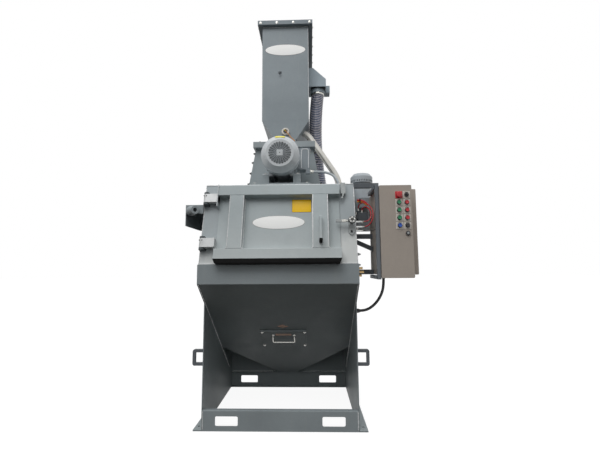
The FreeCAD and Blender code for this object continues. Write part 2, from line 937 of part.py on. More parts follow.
def door():
    """The door: a skin with bent bars and ribs proud of it, a seal, a rubber lip and a pull handle."""
    gap = size("door_gap")
    bend = size("bend_radius")
    bottom_top = DOOR_LOW + size("bottom_bar")
    top_low = DOOR_HIGH - size("top_bar")
    skin = new_body("door_skin", FACE)
    pad(skin, "XZ", [box_shape(-DOOR, DOOR, DOOR_LOW, DOOR_HIGH)], SKIN_FRONT, -gap)
    top = new_body("door_top_bar", FACE)
    pad(top, "XZ", [box_shape(-DOOR, DOOR, top_low, DOOR_HIGH)], BAR_FRONT, SKIN_FRONT)
    fillet(top, bend, "X", [(BAR_FRONT, top_low), (BAR_FRONT, DOOR_HIGH)])
    bottom = new_body("door_bottom_bar", FACE)
    pad(bottom, "XZ", [box_shape(-DOOR, DOOR, DOOR_LOW, bottom_top)], BAR_FRONT, SKIN_FRONT)
    fillet(bottom, bend, "X", [(BAR_FRONT, bottom_top)])
    ribs = new_body("door_ribs", FACE)
    left = -DOOR + size("left_rib_inset")
    edges = []
    for near, far in ((left, left + size("left_rib_width")), (RIB_LEFT, RIB_RIGHT)):
        pad(ribs, "XZ", [box_shape(near, far, bottom_top, top_low)], BAR_FRONT, SKIN_FRONT)
        edges += [(near, BAR_FRONT), (far, BAR_FRONT)]
    fillet(ribs, bend, "Z", edges)
    seal = new_body("door_seal", FACE)
    ring = size("seal_width")
    outer = box_shape(-MOUTH - ring, MOUTH + ring, MOUTH_LOW - ring, MOUTH_HIGH + ring)
    inner = box_shape(-MOUTH - 1, MOUTH + 1, MOUTH_LOW - 1, MOUTH_HIGH + 1)
    pad(seal, "XZ", [outer, inner], -gap, -size("seal_gap"))
    lip = new_body("door_lip", FACE)
    lip_low = DOOR_LOW - size("lip_drop")
    strip = [
        (-DOOR, DOOR_LOW),
        (DOOR, DOOR_LOW),
        (DOOR - size("lip_side"), lip_low),
        (-DOOR + size("lip_side"), lip_low),
    ]
    pad(lip, "XZ", [("polygon", strip)], -size("lip_depth"), -size("lip_stand"))
    pull = new_body("door_handle", FACE)
    bar = size("pull_bar")
    low, high = DOOR_LOW + size("pull_rise"), DOOR_LOW + size("pull_rise") + size("pull_length")
    reach = BAR_FRONT - size("pull_stand")
    across = (RIB_LEFT + RIB_RIGHT) / 2
    loop = [
        (BAR_FRONT, low),
        (reach, low),
        (reach, high),
        (BAR_FRONT, high),
        (BAR_FRONT, high - bar),
        (reach + bar, high - bar),
        (reach + bar, low + bar),
        (BAR_FRONT, low + bar),
    ]
    pad(pull, "YZ", [("polygon", loop)], across - bar / 2, across + bar / 2)
    fillet(pull, bar * 0.7, "X", [loop[1], loop[2]])


def hinges():
    """Two pin hinges: lugs and pins on the cabinet, knuckle blocks on the door between them."""
    stand = -size("hinge_stand")
    lugs = new_body("hinge_lugs", FACE)
    arms = new_body("door_hinge_arms", FACE)
    radius = size("knuckle_radius")
    gap, ear = size("lug_gap"), size("lug_height")
    wide = radius + size("hinge_margin")
    for low in (DOOR_LOW + size("lower_hinge_rise"), DOOR_LOW + size("upper_hinge_rise")):
        high = low + size("hinge_block")
        base = box_shape(HINGE - wide, HINGE + wide, low - gap - ear, high + gap + ear)
        pad(lugs, "XZ", [base], -size("hinge_plate"), 0)
        for under, over in ((low - gap - ear, low - gap), (high + gap, high + gap + ear)):
            side = box_shape(HINGE - radius, HINGE + radius, stand, -size("hinge_plate"))
            pad(lugs, "XY", [side], under, over)
            pad(lugs, "XY", [("circle", HINGE, stand, radius)], under, over)
        pad(lugs, "XY", [("circle", HINGE, stand, size("pin_radius"))], low - gap, high + gap)
        pad(arms, "XY", [("circle", HINGE, stand, radius)], low, high)
        web = box_shape(HINGE, -DOOR - size("strap"), stand - radius, stand + radius)
        pad(arms, "XY", [web], low, high)
        pad(arms, "XY", [box_shape(-DOOR - size("strap"), -DOOR, BAR_FRONT, -size("door_gap"))], low, high)
        bore = ("circle", HINGE, stand, size("pin_radius") + size("pin_clearance"))
        pocket(arms, "XY", [bore], low, high)


def latch():
    """The swing latch on the right jamb: a bracket with a stud and a lock eye, and the arm with its knob."""
    across, up = DOOR + size("latch_outset"), DOOR_LOW + size("latch_rise")
    plate, half = size("latch_plate"), size("latch_plate_half")
    bar = size("latch_bar")
    back = -size("latch_stand") + bar / 2
    front = back - bar
    eye = up - size("latch_eye_drop")
    post = new_body("latch_post", FACE)
    pad(post, "XZ", [box_shape(across - half, across + half, eye, up + half)], -plate, 0)
    pad(post, "XZ", [("circle", across, eye, size("latch_ring"))], -plate, 0)
    pocket(post, "XZ", [("circle", across, eye, size("latch_ring") / 2)], -plate, 0)
    pad(post, "XZ", [("circle", across, up, size("latch_post"))], back + size("lug_gap"), -plate)
    stud = size("latch_stud")
    stud_end = front - size("latch_knob_depth") / 2
    pad(post, "XZ", [("circle", across, up, stud)], stud_end, back + size("lug_gap"))
    arm = new_body("latch_arm", FACE)
    tip = across - size("latch_reach")
    pad(arm, "XZ", [box_shape(tip, across, up - bar / 2, up + bar / 2)], front, back)
    knob_front = front - size("latch_knob_depth")
    pad(arm, "XZ", [("circle", across, up, size("latch_knob"))], knob_front, front)
    bore = ("circle", across, up, stud + size("stud_clearance"))
    pocket(arm, "XZ", [bore], stud_end - size("lug_gap"), back)


def door_switch():
    """The limit switch that tells that the door is shut, with its lever and roller."""
    body = new_body("door_switch", FACE)
    left = DOOR + size("switch_outset")
    right = left + size("switch_width")
    low = size("switch_low")
    depth = size("switch_depth")
    pad(body, "XZ", [box_shape(left, right, low, low + size("switch_height"))], -depth, 0)
    neck = size("switch_neck")
    middle = (left + right) / 2
    pad(body, "XZ", [box_shape(middle - neck / 2, middle + neck / 2, low - neck, low)], -depth * 0.8, -depth * 0.2)
    roller = left + size("switch_roller")
    drop = low - size("switch_lever")
    lever = [
        (middle - neck / 2, low),
        (roller - neck / 4, drop),
        (roller + neck / 4, drop),
        (middle + neck / 2, low),
    ]
    pad(body, "XZ", [("polygon", lever)], -depth, -depth * 0.8)
    wheel = ("circle", roller, drop, size("switch_roller"))
    pad(body, "XZ", [wheel], -depth * 0.8 - size("switch_roller"), -depth * 0.8)


def intake_hood():
    """A sheet hood on the left wall, open below and low at its front, with a pipe sleeve."""
    body = new_body("intake_hood")
    outer = -CABINET - size("intake_reach")
    front = FRONT - size("intake_front")
    back = front + size("intake_length")
    high = ROOF - size("intake_below_roof")
    low = high - size("intake_height")
    thick = size("intake_sheet")
    shut = high - size("intake_brow")
    pad(body, "XZ", [box_shape(outer, -CABINET, low, high)], front, back)
    pocket(body, "XZ", [box_shape(outer + thick, -CABINET, low, high - thick)], front + thick, back - thick)
    pocket(body, "XZ", [box_shape(outer + thick, -CABINET, low, shut)], front, front + thick)
    place = (-CABINET - size("sleeve_inset"), front)
    height = high - size("sleeve_drop")
    root, tip = -size("sleeve_root"), size("sleeve_length")
    base, mouth, bore = size("sleeve_radius") + thick, size("sleeve_radius"), size("sleeve_bore")
    stub = [(root, 0), (root, base), (0, base), (tip - 2 * thick, mouth), (tip, mouth), (tip, 0)]
    turned(body, "Revolution", height, place, size("sleeve_turn"), stub)
    hole = [(root, 0), (root, bore), (tip, bore), (tip, 0)]
    turned(body, "Groove", height, place, size("sleeve_turn"), hole)


def wheel_housing():
    """The blast wheel's housing, wider at its foot, flanged to the roof, under a flat lid."""
    foot, head = size("housing_foot_half"), size("housing_top_half")
    flange, sheet = size("housing_flange"), size("frame_thickness")
    body = new_body("wheel_housing")
    outline = [(-foot, ROOF), (foot, ROOF), (head, HOUSING_TOP), (-head, HOUSING_TOP)]
    pad(body, "XZ", [("polygon", outline)], HOUSING_FRONT, HOUSING_BACK)
    base = box_shape(-foot - flange, foot + flange, HOUSING_FRONT - flange, HOUSING_BACK + flange)
    pad(body, "XY", [base], ROOF, ROOF + sheet)
    lid = new_body("wheel_housing_lid")
    half = size("lid_half")
    pad(lid, "XY", [box_shape(-half, half, LID_FRONT, LID_BACK)], LID_LOW, LID_TOP)
    pad(lid, "XY", [box_shape(-head, head, HOUSING_FRONT, HOUSING_BACK)], HOUSING_TOP, LID_LOW)


def wheel_motor():
    """The foot-mounted motor: a pedestal on the roof, a finned barrel, a fan cover and a terminal box."""
    base_top = ROOF + size("motor_base_height")
    housing_edge = HOUSING_FRONT - size("housing_flange")
    rail, opening = size("pedestal_half"), size("pedestal_opening")
    foot_low = MOTOR_AXIS - size("foot_drop")
    foot_high = foot_low + size("foot_plate")
    begin = FRONT + size("pedestal_front")
    base = new_body("motor_base")
    half = size("motor_base_half")
    plate = box_shape(-half, half, FRONT + size("motor_base_front"), housing_edge)
    pad(base, "XY", [plate], ROOF, base_top)
    for left, right in ((-rail, -opening), (opening, rail)):
        pad(base, "XY", [box_shape(left, right, begin, housing_edge)], base_top, foot_low)
    nose = FRONT + size("motor_front")
    cover_end = nose + size("fan_cover_length")
    radius, fin = size("motor_radius"), size("fin_height")
    barrel = new_body("wheel_motor")
    pad(barrel, "XZ", [("circle", 0, MOTOR_AXIS, radius - fin)], cover_end, HOUSING_FRONT)
    bell = ("circle", 0, MOTOR_AXIS, radius)
    pad(barrel, "XZ", [bell], HOUSING_FRONT - size("bell_length"), HOUSING_FRONT)
    half = size("foot_width_half")
    feet = [box_shape(-rail, -half, foot_low, foot_high), box_shape(half, rail, foot_low, foot_high)]
    foot_begin = cover_end + size("bell_length")
    foot_end = HOUSING_FRONT - size("bell_length")
    pad(barrel, "XZ", feet, foot_begin, foot_end)
    webs = [
        box_shape(-opening, -half, foot_low, MOTOR_AXIS - radius / 2),
        box_shape(half, opening, foot_low, MOTOR_AXIS - radius / 2),
    ]
    pad(barrel, "XZ", webs, foot_begin, foot_end)
    neck = size("terminal_neck")
    neck_begin = FRONT + size("terminal_front") + neck
    neck_end = neck_begin + size("terminal_depth") - 2 * neck
    neck_low = MOTOR_AXIS - size("terminal_drop") + neck
    left = radius + size("terminal_gap")
    shape = box_shape(radius / 2, left, neck_low, MOTOR_AXIS + radius / 2)
    pad(barrel, "XZ", [shape], neck_begin, neck_end)
    fins(barrel, radius, fin, foot_begin, foot_end)
    cover = new_body("motor_fan_cover", Frame(0, nose, MOTOR_AXIS))
    length = size("fan_cover_length")
    big, small = size("fan_cover_radius"), size("fan_cover_nose")
    outline = [(0, 0), (small, 0), (big, length / 3), (big, length), (0, length)]
    revolve(cover, "XY", outline, "V_Axis")
    box = new_body("motor_terminal_box")
    begin = FRONT + size("terminal_front")
    end = begin + size("terminal_depth")
    right = left + size("terminal_width")
    low = MOTOR_AXIS - size("terminal_drop")
    high = low + size("terminal_height")
    pad(box, "XZ", [box_shape(left, right, low, high)], begin, end)
    elbow = size("elbow_size")
    pad(box, "XZ", [box_shape(right - elbow, right, low - elbow, low)], begin, begin + elbow)


def fins(body, radius, height, begin, end):
    """Cooling fins round the upper three quarters of a barrel along Y."""
    count = 20
    half = size("fin_thickness") / 2
    inner, outer = radius - height * 1.5, radius
    for k in range(count):
        angle = math.radians(-36 + 252 * k / (count - 1))
        c, s = math.cos(angle), math.sin(angle)
        blade = [
            (inner * c + half * s, MOTOR_AXIS + inner * s - half * c),
            (outer * c + half * s, MOTOR_AXIS + outer * s - half * c),
            (outer * c - half * s, MOTOR_AXIS + outer * s + half * c),
            (inner * c - half * s, MOTOR_AXIS + inner * s + half * c),
        ]
        pad(body, "XZ", [("polygon", blade)], begin, end)


def storage_bin():
    """The tall bin: a sheet shell with a V bottom, a rim of flat bar, a cover and a sight port."""
    sheet = size("bin_sheet")
    outer, foot = size("bin_half"), size("bin_foot_half")
    top = size("bin_top")
    rim_low = top - size("rim_height")
    shell = new_body("bin_shell")

    def outline(cut, base):
        return [
            (-foot + cut, base),
            (foot - cut, base),
            (outer - cut, BIN_BREAK),
            (outer - cut, rim_low),
            (-outer + cut, rim_low),
            (-outer + cut, BIN_BREAK),
        ]

    pad(shell, "XZ", [("polygon", outline(0, BIN_FOOT))], BIN_FRONT, BIN_BACK)
    pocket(shell, "XZ", [("polygon", outline(sheet, BIN_FOOT + sheet))], BIN_FRONT + sheet, BIN_BACK - sheet)
    rim = new_body("bin_cover")
    half = size("rim_half")
    extra = half - outer
    flat = box_shape(-half, half, BIN_FRONT - extra, BIN_BACK + extra)
    inside = box_shape(-outer + sheet, outer - sheet, BIN_FRONT + sheet, BIN_BACK - sheet)
    pad(rim, "XY", [flat, inside], rim_low, top)
    pad(rim, "XY", [box_shape(-outer, outer, BIN_FRONT, BIN_BACK)], top, top + size("bin_cover"))
    port = new_body("bin_port")
    height = BIN_FOOT + size("port_height")
    depth = size("port_depth")
    pad(port, "XZ", [("circle", 0, height, size("port_radius"))], BIN_FRONT - depth, BIN_FRONT)


def feed_spout():
    """The spout between the bin's outlet and the lid of the wheel housing."""
    body = new_body("feed_spout")
    half = size("bin_foot_half") - 2 * size("bin_sheet")
    pad(body, "XY", [box_shape(-half, half, BIN_FRONT, LID_BACK)], LID_TOP, BIN_FOOT)


def elevator():
    """The bucket elevator behind the cabinet: a boot on the floor and a casing up to the bin."""
    boot = new_body("elevator_boot")
    half, deep, high = size("boot_half"), size("boot_depth"), size("boot_height")
    pad(boot, "XY", [box_shape(-half, half, REAR, REAR + deep)], 0, high)
    bearing = size("bearing_radius")
    reach = half + size("bearing_depth")
    pad(boot, "YZ", [("circle", REAR + deep / 2, high / 2, bearing)], -reach, reach)
    hatch_half, rim = size("hatch_half"), size("hatch_depth")
    hatch = box_shape(-hatch_half, hatch_half, high / 4, high * 3 / 4)
    pad(boot, "XZ", [hatch], REAR + deep, REAR + deep + rim)
    leg = new_body("elevator_leg")
    half, deep = size("leg_half"), size("leg_depth")
    pad(leg, "XY", [box_shape(-half, half, REAR, REAR + deep)], high, BIN_FOOT)
    flange, thick = size("leg_flange"), size("frame_thickness")
    collar = box_shape(-half - flange, half + flange, REAR, REAR + deep + flange)
    joint = high + size("leg_section")
    for low in (high, joint - thick, joint):
        pad(leg, "XY", [collar], low, low + thick)


def vent():
    """The dust outlet on the bin's right wall, its hose down to the roof, and the overflow pipe."""
    wall = size("bin_half")
    front = FRONT + size("vent_front")
    back = front + size("vent_depth")
    high = size("bin_top") - size("vent_below_top")
    low = high - size("vent_height")
    reach = wall + size("vent_reach")
    step = size("vent_step")
    hood = new_body("vent_hood")
    outline = [
        (wall, low),
        (reach - step, low),
        (reach - step, low + size("vent_shoulder")),
        (wall + step, high),
        (wall, high),
    ]
    pad(hood, "XZ", [("polygon", outline)], front, back)
    skirt = box_shape(wall, reach, low, low + size("vent_shoulder"))
    pad(hood, "XZ", [skirt], back - step, back + step)
    middle = (front + back) / 2
    collar_low = low - size("collar_height")
    top_x = wall + size("hose_top_outset")
    foot_x = wall + size("hose_foot_outset")
    pad(hood, "XY", [("circle", top_x, middle, size("collar_radius"))], collar_low, low)
    collar = new_body("hose_collar")
    collar_high = ROOF + size("collar_height")
    pad(collar, "XY", [("circle", foot_x, middle, size("collar_radius"))], ROOF, collar_high)
    drop = (collar_low - collar_high) / 5
    route_tube(
        "dust_hose",
        [
            (top_x, middle, collar_low),
            (top_x, middle, collar_low - drop),
            (foot_x, middle, collar_high + drop),
            (foot_x, middle, collar_high),
        ],
        size("hose_radius"),
        HOSE_SIDES,
    )
    rise, lean = size("bin_taper"), BIN_LEAN
    up = size("overflow_start")
    start_x = size("bin_foot_half") + up * lean / rise
    start_z = BIN_FOOT + up
    along = FRONT + size("overflow_along")
    out = size("overflow_reach")
    foot_x = start_x + out
    foot_z = start_z - size("overflow_fall")
    route_tube(
        "overflow_pipe",
        [
            (start_x, along, start_z),
            (start_x + rise / 4, along, start_z - lean / 4),
            (foot_x, along, foot_z),
            (foot_x, along, ROOF),
        ],
        size("overflow_radius"),
        HOSE_SIDES,
    )


def cords():
    """The hoses and cables that hang free between two fittings, each along its own points."""
    for name, points, radius in (
        ("motor_conduit", MOTOR_CONDUIT, "conduit_radius"),
        ("panel_conduit", PANEL_CONDUIT, "panel_conduit_radius"),
        ("air_hose_outer", AIR_HOSE_OUTER, "air_hose_radius"),
        ("air_hose_inner", AIR_HOSE_INNER, "air_hose_radius"),
        ("sensor_cable", SENSOR_CABLE, "sensor_cable_radius"),
    ):
        route_tube(name, points, size(radius), CORD_SIDES)


def air_valve():
    """The solenoid valve on an arm from the right wall, with its coil on top."""
    body = new_body("air_valve")
    left = CABINET + size("valve_gap")
    high = ROOF - size("valve_below_roof")
    low = high - size("valve_height")
    begin = FRONT + size("valve_front")
    end = begin + size("valve_depth")
    pad(body, "XZ", [box_shape(left, left + size("valve_width"), low, high)], begin, end)
    arm = size("valve_arm")
    middle = (low + high) / 2
    pad(body, "XZ", [box_shape(CABINET, left, middle - arm / 2, middle + arm / 2)], begin, end)
    coil = size("valve_coil")
    top = box_shape(left, left + coil, end - coil, end)
    pad(body, "XY", [top], high, high + size("coil_height"))


def wall_fittings():
    """Three unions on the right wall behind the latch: two for the air hoses, one for a sensor cable."""
    body = new_body("wall_fittings")
    radius = size("fitting_radius")
    along = FRONT + size("fitting_front")
    for hose, shift in ((AIR_HOSE_INNER, 2), (AIR_HOSE_OUTER, 0), (SENSOR_CABLE, 11)):
        end = hose[0] if hose is SENSOR_CABLE else hose[-1]
        pad(body, "YZ", [("circle", along + shift, end[2], radius)], CABINET, end[0])


def control_panel():
    """The control console on its enclosure, held by three arms from the cabinet's right wall."""
    left = SIDE + size("console_gap")
    right = left + size("console_width")
    low = HOPPER_TOP - size("console_drop")
    high = low + size("console_height")
    front = FRONT + size("console_front")
    middle = front + size("console_depth")
    rear = middle + size("enclosure_depth")
    door, rim = size("console_door"), size("console_rim")
    console = new_body("control_console")
    pad(console, "XZ", [box_shape(left + rim, right - rim, low + rim, high - rim)], front + door, middle)
    face = ("rounded", left, right, low, high, size("console_round"))
    pad(console, "XZ", [face], front, front + door)
    enclosure = new_body("electrical_enclosure")
    base = low + size("enclosure_lift")
    far = left + size("enclosure_width")
    shape = ("rounded", left, far, base, base + size("enclosure_height"), size("console_round"))
    pad(enclosure, "XZ", [shape], middle, rear)
    stand = new_body("panel_arms")
    begin = FRONT + size("arm_depth")
    bar = size("arm_bar")
    top = ROOF + size("arm_over_roof")
    post_right = left + size("arm_post_inset") + bar
    pad(stand, "XZ", [box_shape(CABINET, post_right, top - bar, top)], begin, begin + bar)
    post_left = post_right - bar
    pad(stand, "XZ", [box_shape(post_left, post_right, base + size("enclosure_height"), top)], begin, begin + bar)
    for height in (base + bar, base + size("enclosure_height") / 2):
        pad(stand, "XZ", [box_shape(SIDE, left, height - bar, height)], begin, begin + bar)
    brace_low = base + size("enclosure_height") / 2 - bar
    brace = [
        (SIDE, brace_low - size("brace_drop") + bar),
        (SIDE, brace_low - size("brace_drop")),
        (left, brace_low - size("brace_drop") - size("brace_fall")),
        (left, brace_low - size("brace_drop") - size("brace_fall") + bar),
    ]
    pad(stand, "XZ", [("polygon", brace)], begin, begin + bar / 2)
    controls(left, high, front)


def controls(left, high, front):
    """Ten square plates in two columns, with eight push buttons, a selector, a key switch and a stop."""
    pitch = size("button_pitch")
    plate = size("legend_thickness")
    half = size("legend_half")
    first = left + size("button_inset")
    second = first + pitch
    top = high - size("button_drop")
    plates = new_body("legend_plates")
    buttons = new_body("push_buttons")
    squares, circles = [], []
    radius = size("button_radius")
    for row in range(5):
        for column in (first, second):
            up = top - row * pitch
            squares.append(box_shape(column - half, column + half, up - half, up + half))
            if row or column is second:
                circles.append(("circle", column, up, radius))
    face = front - plate
    tip = face - size("button_depth")
    pad(plates, "XZ", squares, face, front)
    pad(buttons, "XZ", circles, tip, face)
    pad(buttons, "XZ", [("circle", second, top - 5 * pitch, radius)], tip, front)
    pad(buttons, "XZ", [("circle", first, top, radius)], tip, face)
    pad(buttons, "XZ", [("circle", first, top, size("stop_radius"))], tip - size("stop_depth"), tip)


def gearmotor():
    """The upright gearmotor on the cabinet's right wall, its output shaft entering the cabinet."""
    x, y = CABINET + size("gear_outset"), FRONT + size("gear_along")
    half = size("gearbox_half")
    cap_low = ROOF + size("gear_cap_lift")
    motor_low = cap_low - size("gear_motor_length")
    low = motor_low - size("gearbox_height")
    radius = size("gear_motor_radius")
    gearbox = new_body("gearbox")
    pad(gearbox, "XY", [("rounded", x - half, x + half, y - half, y + half, size("gearbox_round"))], low, motor_low)
    middle = (low + motor_low) / 2
    pad(gearbox, "YZ", [("circle", y, middle, size("gear_neck"))], CABINET, x - half)
    motor = new_body("gear_motor")
    pad(motor, "XY", [("circle", x, y, radius)], motor_low, cap_low)
    box = size("gear_terminal")
    pad(
        motor,
        "XY",
        [box_shape(x - box / 2, x + box / 2, y - radius - box / 2, y - radius / 2)],
        motor_low + box / 3,
        motor_low + box * 4 / 3,
    )
    cap = new_body("gear_motor_fan_cover", Frame(x, y, cap_low))
    wide, tall = size("gear_cap_radius"), size("gear_cap_height")
    brim = wide - size("gear_cap_bevel")
    dome = [(0, 0), (wide, 0), (wide, tall * 2 / 3), (brim, tall), (0, tall)]
    revolve(cap, "XZ", dome, "V_Axis")


def write_parts():
    DOC.recompute()
    for thing in DOC.Objects:
        if "Invalid" in thing.State or "Error" in thing.State:
            raise RuntimeError(f"{thing.Label} failed: {thing.State}")
    os.makedirs("parts", exist_ok=True)
    for body in SUBPARTS:
        if body.Shape.isNull() or not body.Shape.isValid():
            raise RuntimeError(f"{body.Label} has no valid shape")
        body.Shape.exportStep(os.path.join("parts", f"{body.Label}.step"))
        print(body.Label, len(body.Shape.Solids), "solids", round(body.Shape.Volume / 1e6, 2), "litres")


def build():
    side_plates()
    crossmembers()
    rear_panel()
    lifting_handles()
    hopper()
    clean_out()
    cabinet()
    door()
    hinges()
    latch()
    door_switch()
    intake_hood()
    wheel_housing()
    wheel_motor()
    storage_bin()
    feed_spout()
    elevator()
    vent()
    air_valve()
    wall_fittings()
    control_panel()
    gearmotor()
    cords()
    write_parts()


build()
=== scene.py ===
import bpy
import bmesh
import json
import math
from mathutils import Matrix, Vector


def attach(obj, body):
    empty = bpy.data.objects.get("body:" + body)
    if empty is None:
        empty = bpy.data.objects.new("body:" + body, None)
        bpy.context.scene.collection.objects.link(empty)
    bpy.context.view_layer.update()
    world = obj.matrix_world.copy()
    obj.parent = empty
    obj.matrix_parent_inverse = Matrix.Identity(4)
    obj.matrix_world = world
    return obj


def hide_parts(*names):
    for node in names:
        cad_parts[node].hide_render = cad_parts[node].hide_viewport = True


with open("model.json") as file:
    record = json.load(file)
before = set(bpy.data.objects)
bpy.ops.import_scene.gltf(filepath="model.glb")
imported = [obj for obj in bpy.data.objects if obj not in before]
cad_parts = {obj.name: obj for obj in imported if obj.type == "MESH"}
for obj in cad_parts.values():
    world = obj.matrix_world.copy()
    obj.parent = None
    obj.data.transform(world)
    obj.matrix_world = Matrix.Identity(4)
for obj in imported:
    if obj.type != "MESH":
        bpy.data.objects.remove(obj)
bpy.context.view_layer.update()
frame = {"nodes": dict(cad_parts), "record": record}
NODES = frame["nodes"]
MM = 0.001

# Camera, fitted to the photograph
CAMERA_PLACE = Vector((0.2583, -3.5913, 1.3045))
CAMERA_YAW = math.radians(1.65)
CAMERA_PITCH = math.radians(6.645)
CAMERA_ROLL = math.radians(0.377)
FOCAL_SHARE = 0.6
SENSOR_WIDTH = 36.0

# The door lies on a sloping face. A place on it is given across, outwards and up the face.
FACE_TILT = math.radians(14.8)
FACE_Y = -752.5
FACE_Z = 1328.0

# The hopper's slope falls to the rear. A place on it is given across, along and out of its lower side.
SLOPE_Y = -764.5
SLOPE_Z = 1174.0
SLOPE_ANGLE = math.atan2(1014.0, 1281.0)


def place_on_face(across, off, up):
    y = FACE_Y - off * math.cos(FACE_TILT) + up * math.sin(FACE_TILT)
    z = FACE_Z + off * math.sin(FACE_TILT) + up * math.cos(FACE_TILT)
    return Vector((across, y, z))


def place_on_slope(across, along, off=0.0):
    y = SLOPE_Y + along * math.cos(SLOPE_ANGLE) - off * math.sin(SLOPE_ANGLE)
    z = SLOPE_Z - along * math.sin(SLOPE_ANGLE) - off * math.cos(SLOPE_ANGLE)
    return Vector((across, y, z))


FACE_OUT = Vector((0, -math.cos(FACE_TILT), math.sin(FACE_TILT)))
FACE_UP = Vector((0, math.sin(FACE_TILT), math.cos(FACE_TILT)))
SLOPE_OUT = Vector((0, -math.sin(SLOPE_ANGLE), -math.cos(SLOPE_ANGLE)))
SLOPE_UP = Vector((0, -math.cos(SLOPE_ANGLE), math.sin(SLOPE_ANGLE)))
FRONT_OUT = Vector((0, -1, 0))
REAR_OUT = Vector((0, 1, 0))
LEFT_OUT = Vector((-1, 0, 0))
RIGHT_OUT = Vector((1, 0, 0))
TOP_OUT = Vector((0, 0, 1))
DOWN_OUT = Vector((0, 0, -1))


# Heights and half widths of the wheel housing, which tapers, and other places that come back
HOUSING_FOOT = 2006
HOUSING_RISE = 506
HOUSING_FOOT_HALF = 388
HOUSING_TOP_HALF = 294
MOTOR_AXIS = 2287
FAN_NOSE = -581.5
TERMINAL_Y = -206.5
TERMINAL_Z = 2327
CONSOLE_FRONT = -856.5
BUTTON_COLUMNS = (937.0, 996.0)
BUTTON_ROWS = (1849.0, 1790.0, 1731.0, 1672.0, 1613.0)
KEY_ROW = 1554.0
GEAR_X = 743
GEAR_Y = -256.5
RIM_HEIGHT = 4003
CORNERS = ((-1, -1), (-1, 1), (1, -1), (1, 1))
WELD_RIPPLE = 3.5


# Camera, stage and light

def make_camera():
    data = bpy.data.cameras.new("camera")
    data.sensor_width = SENSOR_WIDTH
    data.sensor_fit = "HORIZONTAL"
    data.lens = SENSOR_WIDTH * FOCAL_SHARE
    camera = bpy.data.objects.new("camera", data)
    bpy.context.scene.collection.objects.link(camera)
    turn = (
        Matrix.Rotation(CAMERA_YAW, 3, "Z")
        @ Matrix.Rotation(CAMERA_PITCH, 3, "X")
        @ Matrix.Rotation(CAMERA_ROLL, 3, "Y")
    )
    to_lens = Matrix(((1, 0, 0), (0, 0, -1), (0, 1, 0)))
    camera.matrix_world = Matrix.Translation(CAMERA_PLACE) @ (turn @ to_lens).to_4x4()
    bpy.context.scene.camera = camera


def tint(red, green, blue):
    """A display colour of 0 to 255 as the linear colour that a shader takes."""
    return tuple(
        c / 12.92 if c <= 0.04045 else ((c + 0.055) / 1.055) ** 2.4
        for c in (red / 255, green / 255, blue / 255)
    ) + (1.0,)


class Tree:
    """The nodes of one material or world."""

    def __init__(self, owner):
        owner.use_nodes = True
        self.tree = owner.node_tree
        self.tree.nodes.clear()

    def add(self, kind, inputs=None, **props):
        node = self.tree.nodes.new(kind)
        for name, value in props.items():
            setattr(node, name, value)
        for name, value in (inputs or {}).items():
            self.put(node.inputs[name], value)
        return node

    def put(self, socket, value):
        if isinstance(value, bpy.types.NodeSocket):
            self.tree.links.new(value, socket)
        elif isinstance(value, bpy.types.Node):
            self.tree.links.new(value.outputs[0], socket)
        else:
            socket.default_value = value

    def math(self, operation, first, second=0.0, clamp=False):
        node = self.add("ShaderNodeMath", operation=operation, use_clamp=clamp)
        self.put(node.inputs[0], first)
        self.put(node.inputs[1], second)
        return node.outputs[0]

    def mix(self, factor, first, second, blend="MIX"):
        node = self.add("ShaderNodeMix", data_type="RGBA", blend_type=blend, clamp_factor=True)
        self.put(node.inputs[0], factor)
        self.put(node.inputs[6], first)
        self.put(node.inputs[7], second)
        return node.outputs[2]

    def spread(self, value, low, high, to_low, to_high):
        node = self.add("ShaderNodeMapRange", clamp=True)
        for socket, number in zip(node.inputs[:5], (value, low, high, to_low, to_high)):
            self.put(socket, number)
        return node.outputs[0]


def seen_rays(tree):
    """One for rays that see the stage itself, or its mirror image, and nought for light that it gives."""
    path = tree.add("ShaderNodeLightPath")
    glossy = tree.math("MAXIMUM", path.outputs["Is Camera Ray"], path.outputs["Is Glossy Ray"])
    return tree.math("MAXIMUM", glossy, path.outputs["Is Transmission Ray"])


def make_stage():
    floor_material = bpy.data.materials.new("floor")
    tree = Tree(floor_material)
    seen = seen_rays(tree)
    dark = tree.add("ShaderNodeBsdfDiffuse", {"Color": (0.016, 0.0135, 0.010, 1)})
    pale = tree.add("ShaderNodeBsdfDiffuse", {"Color": (0.95, 0.95, 0.95, 1)})
    glow = tree.add("ShaderNodeEmission", {"Color": (1, 1, 1, 1), "Strength": 1.1})
    shown = tree.add("ShaderNodeMixShader", {0: 0.84, 1: pale, 2: glow})
    both = tree.add("ShaderNodeMixShader", {0: seen, 1: dark, 2: shown})
    tree.add("ShaderNodeOutputMaterial", {"Surface": both})
    bpy.ops.mesh.primitive_plane_add(size=80, location=(0, 0, -0.0005))
    floor = bpy.context.object
    floor.name = "floor"
    floor.data.materials.append(floor_material)
    world = bpy.data.worlds.new("world")
    bpy.context.scene.world = world
    tree = Tree(world)
    seen = seen_rays(tree)
    coordinates = tree.add("ShaderNodeTexCoord")
    split = tree.add("ShaderNodeSeparateXYZ", {0: coordinates.outputs["Generated"]})
    sky = tree.spread(split.outputs["Z"], 0.0, 1.0, 0.18, 1.20)
    dim = tree.add("ShaderNodeBackground", {"Color": (0.985, 0.995, 1.0, 1), "Strength": sky})
    white = tree.add("ShaderNodeBackground", {"Color": (1, 1, 1, 1), "Strength": 1.0})
    both = tree.add("ShaderNodeMixShader", {0: seen, 1: dim, 2: white})
    tree.add("ShaderNodeOutputWorld", {"Surface": both})


